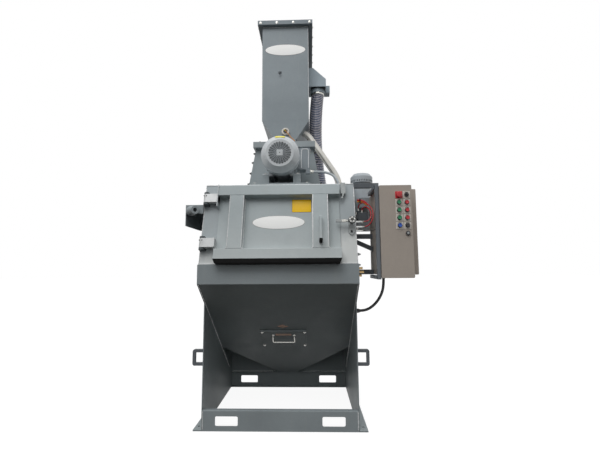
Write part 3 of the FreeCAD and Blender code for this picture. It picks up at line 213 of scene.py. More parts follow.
def make_light(name, place, target, size, power):
    data = bpy.data.lights.new(name, "AREA")
    data.shape = "SQUARE"
    data.size = size
    data.energy = power
    lamp = bpy.data.objects.new(name, data)
    lamp.location = place
    lamp.rotation_euler = (Vector(target) - Vector(place)).to_track_quat("-Z", "Y").to_euler()
    bpy.context.scene.collection.objects.link(lamp)


# Materials

def start_material(name):
    material = bpy.data.materials.new(name)
    tree = Tree(material)
    tree.place = tree.add("ShaderNodeTexCoord").outputs["Object"]
    return material, tree


def noise(tree, scale, detail=3.0, rough=0.5, stretch=None):
    place = tree.place
    if stretch:
        place = tree.add("ShaderNodeMapping", {"Vector": place, "Scale": stretch}).outputs[0]
    node = tree.add("ShaderNodeTexNoise", {"Vector": place, "Scale": scale, "Detail": detail, "Roughness": rough})
    return node.outputs["Fac"]


def bump(tree, height, distance, strength=1.0, normal=None):
    node = tree.add("ShaderNodeBump", {"Height": height, "Distance": distance, "Strength": strength})
    if normal is not None:
        tree.put(node.inputs["Normal"], normal)
    return node.outputs[0]


def edge_share(tree, radius, low, high):
    """A rounded normal, and how far the surface turns away from it near an edge."""
    rounded = tree.add("ShaderNodeBevel", {"Radius": radius}, samples=6).outputs[0]
    flat = tree.add("ShaderNodeNewGeometry").outputs["Normal"]
    dot = tree.add("ShaderNodeVectorMath", {0: rounded, 1: flat}, operation="DOT_PRODUCT").outputs["Value"]
    return rounded, tree.spread(dot, high, low, 0.0, 1.0)


def finish_material(tree, colour, roughness, normal, **fixed):
    shader = tree.add("ShaderNodeBsdfPrincipled", {"Base Color": colour, "Roughness": roughness})
    if normal is not None:
        tree.put(shader.inputs["Normal"], normal)
    for name, value in fixed.items():
        shader.inputs[name.replace("_", " ")].default_value = value
    tree.add("ShaderNodeOutputMaterial", {"Surface": shader})


def paint(name, colour, roughness=0.46, peel=0.00012, cloud=0.10, edge=0.35, radius=0.0025, waves=0.0012,
          gloss=0.24, paler_towards_bottom=None):
    """Sprayed enamel on steel sheet: soft clouds, fine mottle, orange peel, and lighter edges, partly from wear and
    partly a painted highlight.
    """
    material, tree = start_material(name)
    base = tint(*colour)
    light = tuple(min(1.0, c * (1 + cloud)) for c in base[:3]) + (1.0,)
    deep = tuple(c * (1 - cloud) for c in base[:3]) + (1.0,)
    broad = noise(tree, 1.7, 4.0, 0.55)
    tone = tree.mix(tree.spread(broad, 0.32, 0.68, 0.0, 1.0), deep, light)
    mottle = tree.spread(noise(tree, 60.0, 5.0, 0.6), 0.25, 0.75, 0.965, 1.03)
    shade = tree.add("ShaderNodeCombineColor", {0: mottle, 1: mottle, 2: mottle}).outputs[0]
    tone = tree.mix(1.0, tone, shade, "MULTIPLY")
    streak = noise(tree, 5.0, 6.0, 0.65, (3.2, 3.2, 0.35))
    dust = tree.spread(streak, 0.56, 0.80, 0.0, 0.22)
    tone = tree.mix(dust, tone, tint(176, 176, 170))
    specks = tree.spread(noise(tree, 210.0, 2.0), 0.745, 0.79, 0.0, 0.55)
    tone = tree.mix(specks, tone, tint(70, 72, 72))
    # Edges turn towards a pale grey: some of it is wear, and some is a painted highlight where the edges catch the
    # light.
    rounded, rim = edge_share(tree, radius, 0.55, 0.96)
    wear_and_edge_highlight = tree.math("MULTIPLY", rim, tree.spread(noise(tree, 26.0, 4.0, 0.6), 0.35, 0.62, 0.25, 1.0))
    tone = tree.mix(tree.math("MULTIPLY", wear_and_edge_highlight, edge), tone, tint(214, 218, 217))
    # Paler towards the bottom: a pale grey is mixed in below a ragged level, which may lean across.
    if paler_towards_bottom:
        low, high, lean, share = paler_towards_bottom
        split = tree.add("ShaderNodeSeparateXYZ", {0: tree.place})
        level = tree.math("SUBTRACT", split.outputs["Z"], tree.math("MULTIPLY", split.outputs["X"], lean))
        ragged = tree.math("ADD", level, tree.spread(noise(tree, 11.0, 6.0, 0.7), 0.3, 0.7, -0.05, 0.05))
        tone = tree.mix(tree.spread(ragged, low, high, share, 0.0), tone, tint(224, 226, 224))
    sheen = tree.spread(noise(tree, 7.0, 5.0, 0.6), 0.3, 0.7, roughness - 0.07, roughness + 0.09)
    normal = bump(tree, noise(tree, 2.4, 2.0), waves * 6, 0.35, rounded)
    normal = bump(tree, noise(tree, 420.0, 2.0), peel, 0.8, normal)
    finish_material(tree, tone, sheen, normal, Specular_IOR_Level=gloss)
    return material


def metal(name, colour, roughness=0.34, metallic=0.9, grain=(1.0, 1.0, 1.0), stain=None, depth=0.00008):
    """Plated, brushed or bare metal with grain, fine scratches and dull patches."""
    material, tree = start_material(name)
    base = tint(*colour)
    grains = noise(tree, 160.0, 6.0, 0.65, grain)
    lines = tree.spread(grains, 0.3, 0.7, 0.82, 1.1)
    shade = tree.add("ShaderNodeCombineColor", {0: lines, 1: lines, 2: lines}).outputs[0]
    tone = tree.mix(1.0, base, shade, "MULTIPLY")
    patch = tree.spread(noise(tree, 14.0, 5.0, 0.6), 0.48, 0.72, 0.0, 0.55)
    dull = tint(*stain) if stain else tuple(c * 0.62 for c in base[:3]) + (1.0,)
    tone = tree.mix(patch, tone, dull)
    rounded, rim = edge_share(tree, 0.0012, 0.6, 0.97)
    # Edges turn towards near-white as a painted highlight.
    tone = tree.mix(tree.math("MULTIPLY", rim, 0.35), tone, tint(236, 236, 232))
    sheen = tree.spread(grains, 0.25, 0.75, roughness - 0.08, roughness + 0.14)
    normal = bump(tree, grains, depth, 0.8, rounded)
    finish_material(tree, tone, sheen, normal, Metallic=metallic)
    return material


def moulded(name, colour, roughness=0.4, grain=0.00006, spread=0.08, coat=0.0, wear_and_edge_highlight=None, gloss=0.35):
    """Moulded plastic or rubber: even colour with slight clouds, a fine moulded grain and handled patches."""
    material, tree = start_material(name)
    base = tint(*colour)
    light = tuple(min(1.0, c * (1 + spread)) for c in base[:3]) + (1.0,)
    deep = tuple(c * (1 - spread) for c in base[:3]) + (1.0,)
    tone = tree.mix(tree.spread(noise(tree, 24.0, 4.0, 0.6), 0.3, 0.7, 0.0, 1.0), deep, light)
    marks = tree.spread(noise(tree, 90.0, 6.0, 0.7), 0.58, 0.78, 0.0, 0.35)
    pale = tint(*wear_and_edge_highlight) if wear_and_edge_highlight else tuple(min(1.0, c * 1.35 + 0.01) for c in base[:3]) + (1.0,)
    tone = tree.mix(marks, tone, pale)
    # The handled marks are wear; the edges turn towards the same pale colour as a painted highlight.
    rounded, rim = edge_share(tree, 0.0010, 0.6, 0.97)
    tone = tree.mix(tree.math("MULTIPLY", rim, 0.2), tone, pale)
    sheen = tree.spread(noise(tree, 40.0, 5.0, 0.6), 0.3, 0.7, roughness - 0.06, roughness + 0.10)
    normal = bump(tree, noise(tree, 900.0, 2.0), grain, 0.7, rounded)
    finish_material(tree, tone, sheen, normal, Coat_Weight=coat, Coat_Roughness=0.12, Specular_IOR_Level=gloss)
    return material


def corrugated(name):
    """Clear blue-grey duct wall with a pale wire helix on its crests, made paler still as a painted highlight."""
    material, tree = start_material(name)
    crest = tree.add("ShaderNodeAttribute", attribute_name="crest").outputs["Fac"]
    wall = tree.mix(tree.spread(noise(tree, 9.0, 4.0, 0.6), 0.3, 0.7, 0.0, 1.0), tint(50, 60, 82), tint(82, 98, 134))
    # Crest colour: the wire helix, lightened as a painted highlight.
    wire_and_highlight = tree.mix(tree.spread(noise(tree, 70.0, 4.0), 0.35, 0.65, 0.0, 1.0), tint(186, 184, 190), tint(236, 228, 230))
    tone = tree.mix(tree.spread(crest, 0.50, 0.92, 0.0, 0.95), wall, wire_and_highlight)
    sheen = tree.spread(noise(tree, 30.0, 4.0), 0.3, 0.7, 0.24, 0.42)
    normal = bump(tree, noise(tree, 300.0, 3.0), 0.0003, 0.6)
    finish_material(tree, tone, sheen, normal, Coat_Weight=0.35, Coat_Roughness=0.18)
    return material


def printed(name, colour, edge_colour, roughness=0.3):
    """A vinyl plate with no print on it: even colour, faint scuffs, and a slightly lifted duller rim."""
    material, tree = start_material(name)
    rim = tree.add("ShaderNodeAttribute", attribute_name="rim").outputs["Fac"]
    scuff = tree.spread(noise(tree, 55.0, 6.0, 0.7, (1.0, 1.0, 3.0)), 0.55, 0.8, 0.0, 0.30)
    tone = tree.mix(scuff, tint(*colour), tuple(c * 0.72 for c in tint(*colour)[:3]) + (1.0,))
    cloud = tree.spread(noise(tree, 6.0, 3.0), 0.35, 0.65, 0.0, 0.10)
    tone = tree.mix(cloud, tone, tuple(c * 0.86 for c in tint(*colour)[:3]) + (1.0,))
    tone = tree.mix(tree.spread(rim, 0.35, 0.65, 0.0, 1.0), tone, tint(*edge_colour))
    sheen = tree.spread(noise(tree, 20.0, 4.0), 0.3, 0.7, roughness - 0.05, roughness + 0.12)
    normal = bump(tree, noise(tree, 260.0, 2.0), 0.00005, 0.5)
    finish_material(tree, tone, sheen, normal, Coat_Weight=0.08, Coat_Roughness=0.15, Specular_IOR_Level=0.2)
    return material


def make_materials():
    return {
        "grey_paint": paint("grey_enamel", (153, 161, 164)),
        # A darker, less glossy copy of the grey enamel for the base and hopper: painted shade.
        "shaded_base_paint": paint("shaded_base_enamel", (146, 154, 156), gloss=0.12),
        "hood_paint": paint("hood_enamel", (166, 179, 187)),
        "lug_grey": paint("handle_enamel", (96, 101, 106), roughness=0.36, edge=0.5, gloss=0.4),
        "bin_paint": paint("grey_enamel_bin", (143, 152, 157), cloud=0.07, edge=0.12, waves=0.002),
        "door_paint": paint("door_enamel", (174, 183, 185), paler_towards_bottom=(1.36, 1.75, 0.0, 0.30)),
        "jamb_paint": paint("jamb_enamel", (170, 178, 181), paler_towards_bottom=(1.42, 1.60, 0.17, 0.9)),
        "rim_paint": paint("rim_enamel", (128, 137, 143), cloud=0.07, edge=0.2),
        "motor_paint": paint("motor_enamel", (198, 203, 206), roughness=0.24, peel=0.0003, cloud=0.06, edge=0.3,
                             gloss=0.8),
        "gear_paint": paint("gear_enamel", (178, 185, 190), roughness=0.36, peel=0.0003, edge=0.2, gloss=0.4),
        "box_paint": paint("terminal_enamel", (138, 146, 152), roughness=0.36, peel=0.0003, edge=0.3, gloss=0.4),
        "taupe_paint": paint("taupe_powder", (184, 174, 164), roughness=0.5, peel=0.0003, cloud=0.05, edge=0.12),
        "dark_paint": paint("dark_enamel", (92, 97, 102), roughness=0.5, edge=0.3),
        "frame_paint": paint("frame_enamel", (104, 110, 116), roughness=0.3, edge=0.3, gloss=0.5),
        # Near-white and glossy: a painted highlight on weld beads, on edge lines and on the terminal box's rim.
        "highlight_paint": paint("highlight_enamel", (236, 240, 240), roughness=0.26, peel=0.0002, cloud=0.3, edge=0.6,
                            radius=0.001, gloss=0.8),
        # Dark grey on the hinge lugs: painted shade round the hinge blocks.
        "hinge_lug_shade_paint": paint("hinge_lug_shade_enamel", (84, 90, 92), roughness=0.5, edge=0.3),
        "block": metal("machined_block", (206, 208, 208), 0.42, 0.25, (1.0, 1.0, 14.0)),
        "steel": metal("zinc_plate", (196, 198, 197), 0.30, 0.85, (1.0, 8.0, 1.0), (150, 146, 134)),
        "pipe": metal("galvanised_tube", (206, 204, 198), 0.32, 0.7, (1.0, 1.0, 1.0), (172, 166, 154)),
        "cast": metal("cast_grey", (150, 154, 154), 0.45, 0.5, (1.0, 1.0, 1.0), None, 0.0003),
        "bolt": metal("bolt_black", (74, 74, 72), 0.42, 0.7),
        "latch_steel": metal("latch_steel", (128, 130, 130), 0.34, 0.85),
        "bright": metal("bolt_bright", (205, 204, 198), 0.26, 0.95),
        "brass": metal("brass", (186, 158, 112), 0.3, 0.9, (1.0, 1.0, 1.0), (110, 96, 78)),
        "rubber": moulded("black_rubber", (22, 22, 22), 0.78, 0.0001, 0.12, 0.0, (44, 44, 43), gloss=0.08),
        "jacket": moulded("black_jacket", (30, 30, 32), 0.42, 0.00005, 0.12, 0.0, (56, 56, 56)),
        "conduit": moulded("grey_conduit", (172, 178, 182), 0.40, 0.00005, 0.06, 0.0, (206, 208, 208)),
        "red_hose": moulded("red_tube", (196, 34, 48), 0.28, 0.00003, 0.08, 0.3, (226, 88, 92)),
        "amber_hose": moulded("amber_tube", (232, 150, 40), 0.3, 0.00003, 0.08, 0.3, (244, 196, 96)),
        "pale_plastic": moulded("pale_plastic", (226, 220, 211), 0.45, 0.00005, 0.04, 0.0, (204, 196, 184)),
        "red_button": moulded("red_button", (206, 44, 54), 0.30, 0.00003, 0.06, 0.4, (230, 96, 98)),
        "green_button": moulded("green_button", (22, 140, 92), 0.30, 0.00003, 0.06, 0.4, (82, 178, 136)),
        "blue_button": moulded("blue_button", (22, 84, 188), 0.30, 0.00003, 0.06, 0.4, (72, 124, 210)),
        "black_button": moulded("black_button", (38, 36, 40), 0.34, 0.00004, 0.1, 0.2, (86, 84, 88)),
        "yellow": moulded("yellow_plastic", (238, 200, 40), 0.35, 0.00004, 0.05, 0.2, (246, 222, 110)),
        "orange": moulded("orange_rod", (204, 134, 62), 0.4, 0.00004, 0.08, 0.0, (222, 172, 110)),
        "white_plate": printed("white_vinyl", (255, 255, 253), (150, 146, 144)),
        "yellow_plate": printed("yellow_vinyl", (255, 204, 0), (48, 43, 30)),
        "tag_plate": printed("tag_plate", (250, 236, 70), (206, 190, 60)),
        "dull_plate": printed("dull_plate", (255, 214, 192), (196, 150, 132), 0.5),
        # Near-black paint put where there is only shade: holes, slots, under the grille and under the vent hood.
        "painted_shade": paint("near_black_shade", (26, 28, 30), roughness=0.7, edge=0.0),
        "hose": corrugated("dust_duct"),
    }


# Mesh building, in millimetres

def frame_at(origin, out, up=None):
    """A place whose Z points out of a surface and whose Y points up along it."""
    out = out.normalized()
    if up is None:
        up = TOP_OUT if abs(out.z) < 0.95 else REAR_OUT
    across = up.cross(out).normalized()
    up = out.cross(across).normalized()
    turn = Matrix((across, up, out)).transposed().to_4x4()
    return Matrix.Translation(origin) @ turn


def spoke(k, count, shift=0.0):
    """The k-th of so many even directions round Z."""
    angle = shift + 2 * math.pi * k / count
    return Vector((math.cos(angle), math.sin(angle), 0))


def skin(bm, rings, closed=False):
    """Faces between rings of points. The ends are capped, or joined where the rings go round."""
    rings = [[bm.verts.new(point) for point in ring] for ring in rings]
    pairs = list(zip(rings, rings[1:]))
    if closed:
        pairs.append((rings[-1], rings[0]))
    for low, high in pairs:
        for k in range(len(low)):
            after = (k + 1) % len(low)
            bm.faces.new((low[k], low[after], high[after], high[k]))
    if not closed:
        bm.faces.new(list(reversed(rings[0])))
        bm.faces.new(rings[-1])


def lathe(bm, place, profile, sides, turn=0.0):
    """A closed solid turned about the place's Z from (radius, height) points."""
    skin(bm, [
        [place @ (spoke(k, sides, turn) * radius + Vector((0, 0, height))) for k in range(sides)]
        for radius, height in profile
    ])


def slab(bm, place, outline, low, high, chamfer=0.0):
    """A plate from a convex outline, with a chamfered top edge."""
    middle = Vector((sum(p[0] for p in outline), sum(p[1] for p in outline))) / len(outline)
    levels = [(low, 0.0), (high - chamfer, 0.0)]
    if chamfer:
        levels.append((high, chamfer))
    rings = []
    for height, inset in levels:
        ring = []
        for corner in outline:
            away = Vector(corner) - middle
            spot = middle + away * (1 - inset / max(away.length, 1e-6))
            ring.append(place @ Vector((spot.x, spot.y, height)))
        rings.append(ring)
    skin(bm, rings)


def gusset(bm, place, outline, low, high):
    """A plate from any simple outline."""
    skin(bm, [[place @ Vector((x, y, height)) for x, y in outline] for height in (low, high)])


def rounded_outline(half_x, half_y, corner, steps=5):
    points = []
    for sx, sy, start in ((1, 1, 0), (-1, 1, 90), (-1, -1, 180), (1, -1, 270)):
        for k in range(steps + 1):
            angle = math.radians(start + 90 * k / steps)
            points.append((
                sx * (half_x - corner) + corner * math.cos(angle),
                sy * (half_y - corner) + corner * math.sin(angle),
            ))
    return points


def oval_outline(half_x, half_y, count=96):
    return [(half_x * spoke(k, count).x, half_y * spoke(k, count).y) for k in range(count)]


def sweep(bm, points, radius, sides=10, closed=False):
    """A round tube along a line of points. The radius may be a function of the point's number."""
    points = [Vector(p) for p in points]
    count = len(points)
    side = None
    rings = []
    for k, point in enumerate(points):
        before = points[k - 1] if k or closed else point
        after = points[(k + 1) % count] if k < count - 1 or closed else point
        along = (after - before).normalized()
        if side is None:
            side = along.orthogonal().normalized()
        side = (side - along * side.dot(along)).normalized()
        other = along.cross(side)
        size = radius(k) if callable(radius) else radius
        ways = [spoke(j, sides) * size for j in range(sides)]
        rings.append([point + side * way.x + other * way.y for way in ways])
    skin(bm, rings, closed)


def bolt(bm, origin, out, across=19.0, head=8.0, washer=True, turn=0.3):
    """A hexagon head with chamfered corners on a washer."""
    place = frame_at(origin, out)
    base = 0.0
    if washer:
        lathe(bm, place, [(across * 0.95, -0.5), (across * 0.95, 2.0), (across * 0.90, 2.5)], 20)
        base = 2.5
    corner = across / math.sqrt(3)
    lathe(bm, place, [
        (corner, base - 0.5), (corner, base + head * 0.84), (corner * 0.90, base + head), (corner * 0.5, base + head),
    ], 6, turn)


def screw(bm, origin, out, radius=7.0, height=4.0):
    """A domed round screw head."""
    place = frame_at(origin, out)
    lathe(bm, place, [
        (radius, -0.5), (radius, height * 0.35), (radius * 0.86, height * 0.72), (radius * 0.5, height), (1.0, height),
    ], 16)


def weld(bm, start, end, radius=4.0, seed=0.0):
    """A rippled bead of weld between two points, uneven in height."""
    start, end = Vector(start), Vector(end)
    count = max(3, int((end - start).length / WELD_RIPPLE))
    points = [start.lerp(end, k / count) for k in range(count + 1)]

    def size(k):
        ripple = 0.16 * radius * (1 if k % 2 else -1)
        sway = 0.14 * radius * math.sin(k * 0.61 + seed) + 0.10 * radius * math.sin(k * 0.173 + seed * 2.1)
        ends = 0.55 if k in (0, count) else 1.0
        return (radius + ripple + sway) * ends

    sweep(bm, points, size, 8)


def make_piece(name, bm, finish, body="machine", smooth=35.0):
    """Turns a mesh in millimetres into a piece that rides on a body."""
    bmesh.ops.recalc_face_normals(bm, faces=bm.faces)
    bmesh.ops.scale(bm, vec=(MM, MM, MM), verts=bm.verts)
    mesh = bpy.data.meshes.new(name)
    bm.to_mesh(mesh)
    bm.free()
    piece = bpy.data.objects.new(name, mesh)
    bpy.context.scene.collection.objects.link(piece)
    mesh.materials.append(FINISHES[finish])
    mesh.shade_smooth()
    mesh.set_sharp_from_angle(angle=math.radians(smooth))
    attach(piece, body)
    return piece


# Free cords

# Name, CAD node, diameter and length in metres, finish, slot, stiffness, and the line's points
CORDS = (
    ("motor_conduit_line", "motor_conduit", 0.023, 0.403, "conduit", "conduit", "medium", (
        (0.261, -0.246, 2.202), (0.345, -0.246, 2.202), (0.418, -0.272, 2.188), (0.474, -0.310, 2.152),
        (0.508, -0.342, 2.100), (0.520, -0.354, 2.050), (0.520, -0.354, 2.006),
    )),
    ("panel_conduit_line", "panel_conduit", 0.0228, 0.445, "jacket", "rubber", "medium", (
        (0.857, -0.576, 1.239), (0.857, -0.576, 1.170), (0.848, -0.562, 1.100), (0.822, -0.540, 1.038),
        (0.784, -0.516, 0.986), (0.738, -0.498, 0.950), (0.688, -0.490, 0.936), (0.635, -0.490, 0.936),
    )),
    ("air_hose_outer_line", "air_hose_outer", 0.009, 0.430, "red_hose", "red_hose", "limp", (
        (0.672, -0.510, 1.782), (0.672, -0.510, 1.816), (0.686, -0.528, 1.840), (0.716, -0.560, 1.846),
        (0.750, -0.598, 1.820), (0.772, -0.636, 1.772), (0.776, -0.658, 1.716), (0.758, -0.662, 1.664),
        (0.722, -0.656, 1.627), (0.684, -0.656, 1.627),
    )),
    ("air_hose_inner_line", "air_hose_inner", 0.009, 0.306, "red_hose", "red_hose", "limp", (
        (0.700, -0.536, 1.760), (0.700, -0.536, 1.788), (0.712, -0.552, 1.808), (0.736, -0.584, 1.804),
        (0.757, -0.618, 1.768), (0.759, -0.644, 1.722), (0.746, -0.656, 1.688), (0.717, -0.654, 1.669),
        (0.679, -0.654, 1.669),
    )),
    ("sensor_cable_line", "sensor_cable", 0.005, 0.169, "jacket", "rubber", "medium", (
        (0.690, -0.645, 1.596), (0.718, -0.645, 1.596), (0.742, -0.662, 1.594), (0.758, -0.690, 1.592),
        (0.768, -0.722, 1.594), (0.795, -0.760, 1.600),
    )),
)


def make_cords():
    for name, node, diameter, length, finish, slot, stiffness, points in CORDS:
        curve = bpy.data.curves.new(name, "CURVE")
        curve.dimensions = "3D"
        curve.bevel_depth = diameter / 2
        curve.bevel_resolution = 5
        curve.use_fill_caps = True
        curve.resolution_u = 14
        spline = curve.splines.new("NURBS")
        spline.points.add(len(points) - 1)
        for spot, place in zip(spline.points, points):
            spot.co = (*place, 1.0)
        spline.order_u = 3
        spline.use_endpoint_u = True
        spline.use_smooth = True
        curve.materials.append(FINISHES[finish])
        cord = bpy.data.objects.new(name, curve)
        bpy.context.scene.collection.objects.link(cord)
        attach(cord, "machine")
        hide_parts(node)


def gland(bm, origin, out, radius, length=26.0):
    """A cable gland: a hexagon, a ribbed cap and a tapered neck round the cord."""
    place = frame_at(origin, out)
    lathe(bm, place, [(radius * 1.85, -0.5), (radius * 1.85, 6), (radius * 1.7, 7.5)], 6)
    lathe(bm, place, [
        (radius * 1.5, 7), (radius * 1.55, 9), (radius * 1.55, length * 0.62), (radius * 1.38, length * 0.76),
        (radius * 1.14, length),
    ], 20)


def make_glands():
    bm = bmesh.new()
    gland(bm, (262, -246, 2202), RIGHT_OUT, 11.5, 34)
    gland(bm, (520, -354, 2006.5), TOP_OUT, 11.5, 34)
    make_piece("conduit_glands", bm, "bright")
    bm = bmesh.new()
    gland(bm, (857, -576, 1239), DOWN_OUT, 11.4, 34)
    gland(bm, (635, -490, 936), RIGHT_OUT, 11.4, 34)
    gland(bm, (690, -645, 1596), RIGHT_OUT, 2.5, 20)
    make_piece("panel_glands", bm, "black_button")
    bm = bmesh.new()
    for origin, out in (
        ((672, -510, 1782), TOP_OUT), ((700, -536, 1760), TOP_OUT),
        ((684, -656, 1627), RIGHT_OUT), ((679, -654, 1669), RIGHT_OUT),
    ):
        gland(bm, origin, out, 4.5, 20)
    make_piece("air_fittings", bm, "bright")


# Dust duct

def make_dust_hose():
    """A corrugated duct along the tube's arc, with its crests marked for the material."""
    top, foot = Vector((361, 448.5, 3320)), Vector((406, 448.5, 2052))
    bow = -52.0
    rings = 62
    per_ring = 6
    radius, groove = 74.0, 6.5
    count = rings * per_ring
    points = []
    for k in range(count + 1):
        share = k / count
        spot = top.lerp(foot, share)
        spot.x += bow * 4 * share * (1 - share)
        points.append(spot)

    def wave(k):
        return 0.5 + 0.5 * math.cos(2 * math.pi * k / per_ring)

    bm = bmesh.new()
    sides = 40
    sweep(bm, points, lambda k: radius - groove + groove * wave(k) ** 0.7, sides)
    piece = make_piece("dust_duct", bm, "hose", smooth=80)
    crest = piece.data.attributes.new("crest", "FLOAT", "POINT")
    for k, spot in enumerate(piece.data.vertices):
        crest.data[k].value = wave(k // sides)
    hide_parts("dust_hose")
    bm = bmesh.new()
    for height, centre in ((3306, 360.5), (2064, 405.5)):
        place = frame_at((centre, 448.5, height), TOP_OUT)
        lathe(bm, place, [(75.5, -9), (76.5, -8), (76.5, 8), (75.5, 9)], 48)
        slab(bm, frame_at((centre, 448.5 - 76, height), FRONT_OUT), rounded_outline(16, 7, 3), -2, 9, 1.5)
        bolt(bm, (centre, 448.5 - 85, height), FRONT_OUT, 8, 4, False)
    make_piece("duct_clamps", bm, "bright")


# Motor's fan cover, terminal box and feet

def make_motor_details():
    bm = bmesh.new()
    place = frame_at((0, FAN_NOSE, MOTOR_AXIS), FRONT_OUT)
    star = [spoke(k, 48).xy * (96 if k % 2 else 89) for k in range(48)]
    slab(bm, place, star, -1.0, 0.8)
    make_piece("grille_shadow", bm, "painted_shade")
    bm = bmesh.new()
    lift = Vector((0, 0, 1.6))
    for radius in (34, 43, 52, 61, 70, 79, 88):
        sweep(bm, [place @ (spoke(k, 48) * radius + lift) for k in range(48)], 1.9, 6, True)
    for k in range(24):
        way = spoke(k + 0.5, 24)
        sweep(bm, [place @ (way * 26 + lift), place @ (way * 94 + lift)], 1.7, 6)
    make_piece("grille_bars", bm, "gear_paint")
    bm = bmesh.new()
    # Near-black discs in the grille's holes: painted shade.
    for k in range(24):
        hole = place @ Matrix.Translation(spoke(k, 24) * 94 + Vector((0, 0, 0.5)))
        lathe(bm, hole, [(5.0, -1), (5.0, 0.9), (4.4, 1.2)], 14)
    make_piece("grille_holes", bm, "painted_shade")
    bm = bmesh.new()
    slab(bm, place, rounded_outline(27, 27, 2.5), 0.5, 4.5, 1.0)
    make_piece("grille_plate", bm, "motor_paint")
    bm = bmesh.new()
    lathe(bm, place, [(4.5, 4.2), (4.5, 5.0), (3.5, 5.2)], 16)
    for k in range(4):
        way = spoke(k + 0.5, 4)
        outwards = (place.to_3x3() @ way).normalized()
        screw(bm, place @ (way * 164) + Vector((0, 138, 0)) + outwards * 4.5, outwards, 6, 3.5)
    make_piece("fan_cover_screws", bm, "bolt")
    bm = bmesh.new()
    for sign in (-1, 1):
        for y in (-376, -120):
            bolt(bm, (sign * 146, y, 2146), TOP_OUT, 19, 9)
        for y in (-460, -70):
            bolt(bm, (sign * 232, y, 2040), TOP_OUT, 19, 9)
    make_piece("motor_foot_bolts", bm, "bright")
    bm = bmesh.new()
    slab(bm, frame_at((261, TERMINAL_Y, TERMINAL_Z), RIGHT_OUT), rounded_outline(52, 97, 8), -1, 3.0, 1.5)
    make_piece("terminal_lid", bm, "box_paint")
    bm = bmesh.new()
    for y, z in CORNERS:
        screw(bm, (264, TERMINAL_Y + y * 42, TERMINAL_Z + z * 87), RIGHT_OUT, 5.5, 3.5)
    make_piece("terminal_screws", bm, "bright")
    bm = bmesh.new()
    # A round bead along the terminal box's front rim, coloured near-white as a painted highlight.
    terminal_highlight_line = (
        (180, 2236), (178, 2330), (184, 2408), (200, 2420), (232, 2420), (246, 2406), (248, 2330), (246, 2236),
    )
    sweep(bm, smooth([(x, -267, z) for x, z in terminal_highlight_line], 5), 3.6, 10)
    make_piece("terminal_rim_highlight", bm, "highlight_paint")


# Fasteners

def make_fasteners():
    bm = bmesh.new()
    lean = HOUSING_FOOT_HALF - HOUSING_TOP_HALF
    for sign in (-1, 1):
        out = Vector((sign * HOUSING_RISE, 0, lean)).normalized()
        for height in (2150, 2262, 2374, 2470):
            half = HOUSING_FOOT_HALF - lean * (height - HOUSING_FOOT) / HOUSING_RISE
            for y in (18, 199):
                place = frame_at((sign * half, y, height), out)
                lathe(bm, place, [(7, -1), (7, 20), (6, 21.5)], 14)
                bolt(bm, place @ Vector((0, 0, 3)), out, 17, 9)
    for x in (-250, -125, 125, 250):
        for y in (110, -30):
            bolt(bm, (x, y, 2575), TOP_OUT, 17, 8)
    make_piece("housing_bolts", bm, "bolt")
    bm = bmesh.new()
    for x in (-272, -91, 91, 272):
        bolt(bm, (x, 110.5, RIM_HEIGHT), FRONT_OUT, 15, 7)
        bolt(bm, (x, 1032.5, RIM_HEIGHT), REAR_OUT, 15, 7)
    for side, out in ((-304, LEFT_OUT), (304, RIGHT_OUT)):
        for k in range(5):
            bolt(bm, (side, 210 + k * 178, RIM_HEIGHT), out, 15, 7)
    make_piece("bin_rim_bolts", bm, "bright")
    bm = bmesh.new()
    joint_spots = [(x, 907.5) for x in (-108, -36, 36, 108)]
    joint_spots += [(x, y) for x in (-126, 126) for y in (610, 690, 770, 850)]
    for x, y in joint_spots:
        for level, out in ((1478, TOP_OUT), (1462, DOWN_OUT), (480, TOP_OUT)):
            bolt(bm, (x, y, level), out, 13, 7)
    for x in (-84, 84):
        for z in (138, 234, 330):
            bolt(bm, (x, 964.5, z), REAR_OUT, 13, 6)
    make_piece("elevator_bolts", bm, "cast")
    bm = bmesh.new()
    for across in (-196, 196):
        for along in (742, 994):
            bolt(bm, place_on_slope(across, along, 6), SLOPE_OUT, 13, 6)
    make_piece("clean_out_bolts", bm, "bright")
    bm = bmesh.new()
    half_line = [(99, 800, 4), (99, 800, 18), (100, 808, 27), (102, 870, 30), (96, 886, 30), (80, 888, 30)]
    line = [place_on_slope(-across, along, off) for across, along, off in half_line]
    line += [place_on_slope(*spot) for spot in reversed(half_line)]
    sweep(bm, smooth(line, 4), 5.5, 12)
    for across in (-99, 99):
        lathe(bm, frame_at(place_on_slope(across, 800, 6), SLOPE_OUT), [(13, -0.5), (13, 3), (9, 6)], 20)
    handle = make_piece("clean_out_drop_handle", bm, "bright")
    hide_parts("clean_out_handle")
    bm = bmesh.new()
    for y, z in ((-700, 1250), (-560, 1215)):
        bolt(bm, (635, y, z), RIGHT_OUT, 17, 9)
        bolt(bm, (-635, y, z), LEFT_OUT, 17, 9)
    make_piece("side_bolts", bm, "bolt")
    bm = bmesh.new()
    for up in (183.5, 573.5):
        for across in (-622, -602):
            screw(bm, place_on_face(across, 64, up), FACE_OUT, 5, 2.5)
    make_piece("hinge_screws", bm, "bolt", "door")


# Welds, coloured near-white as a painted highlight, and painted highlight lines along edges

def quarter(across, sign, radius, steps):
    """A quarter circle in a corner of the door's panels, as places across and up the face."""
    return [
        (across + sign * radius * (1 - math.cos(math.radians(90 * k / steps))),
         radius * (1 - math.sin(math.radians(90 * k / steps))))
        for k in range(steps + 1)
    ]


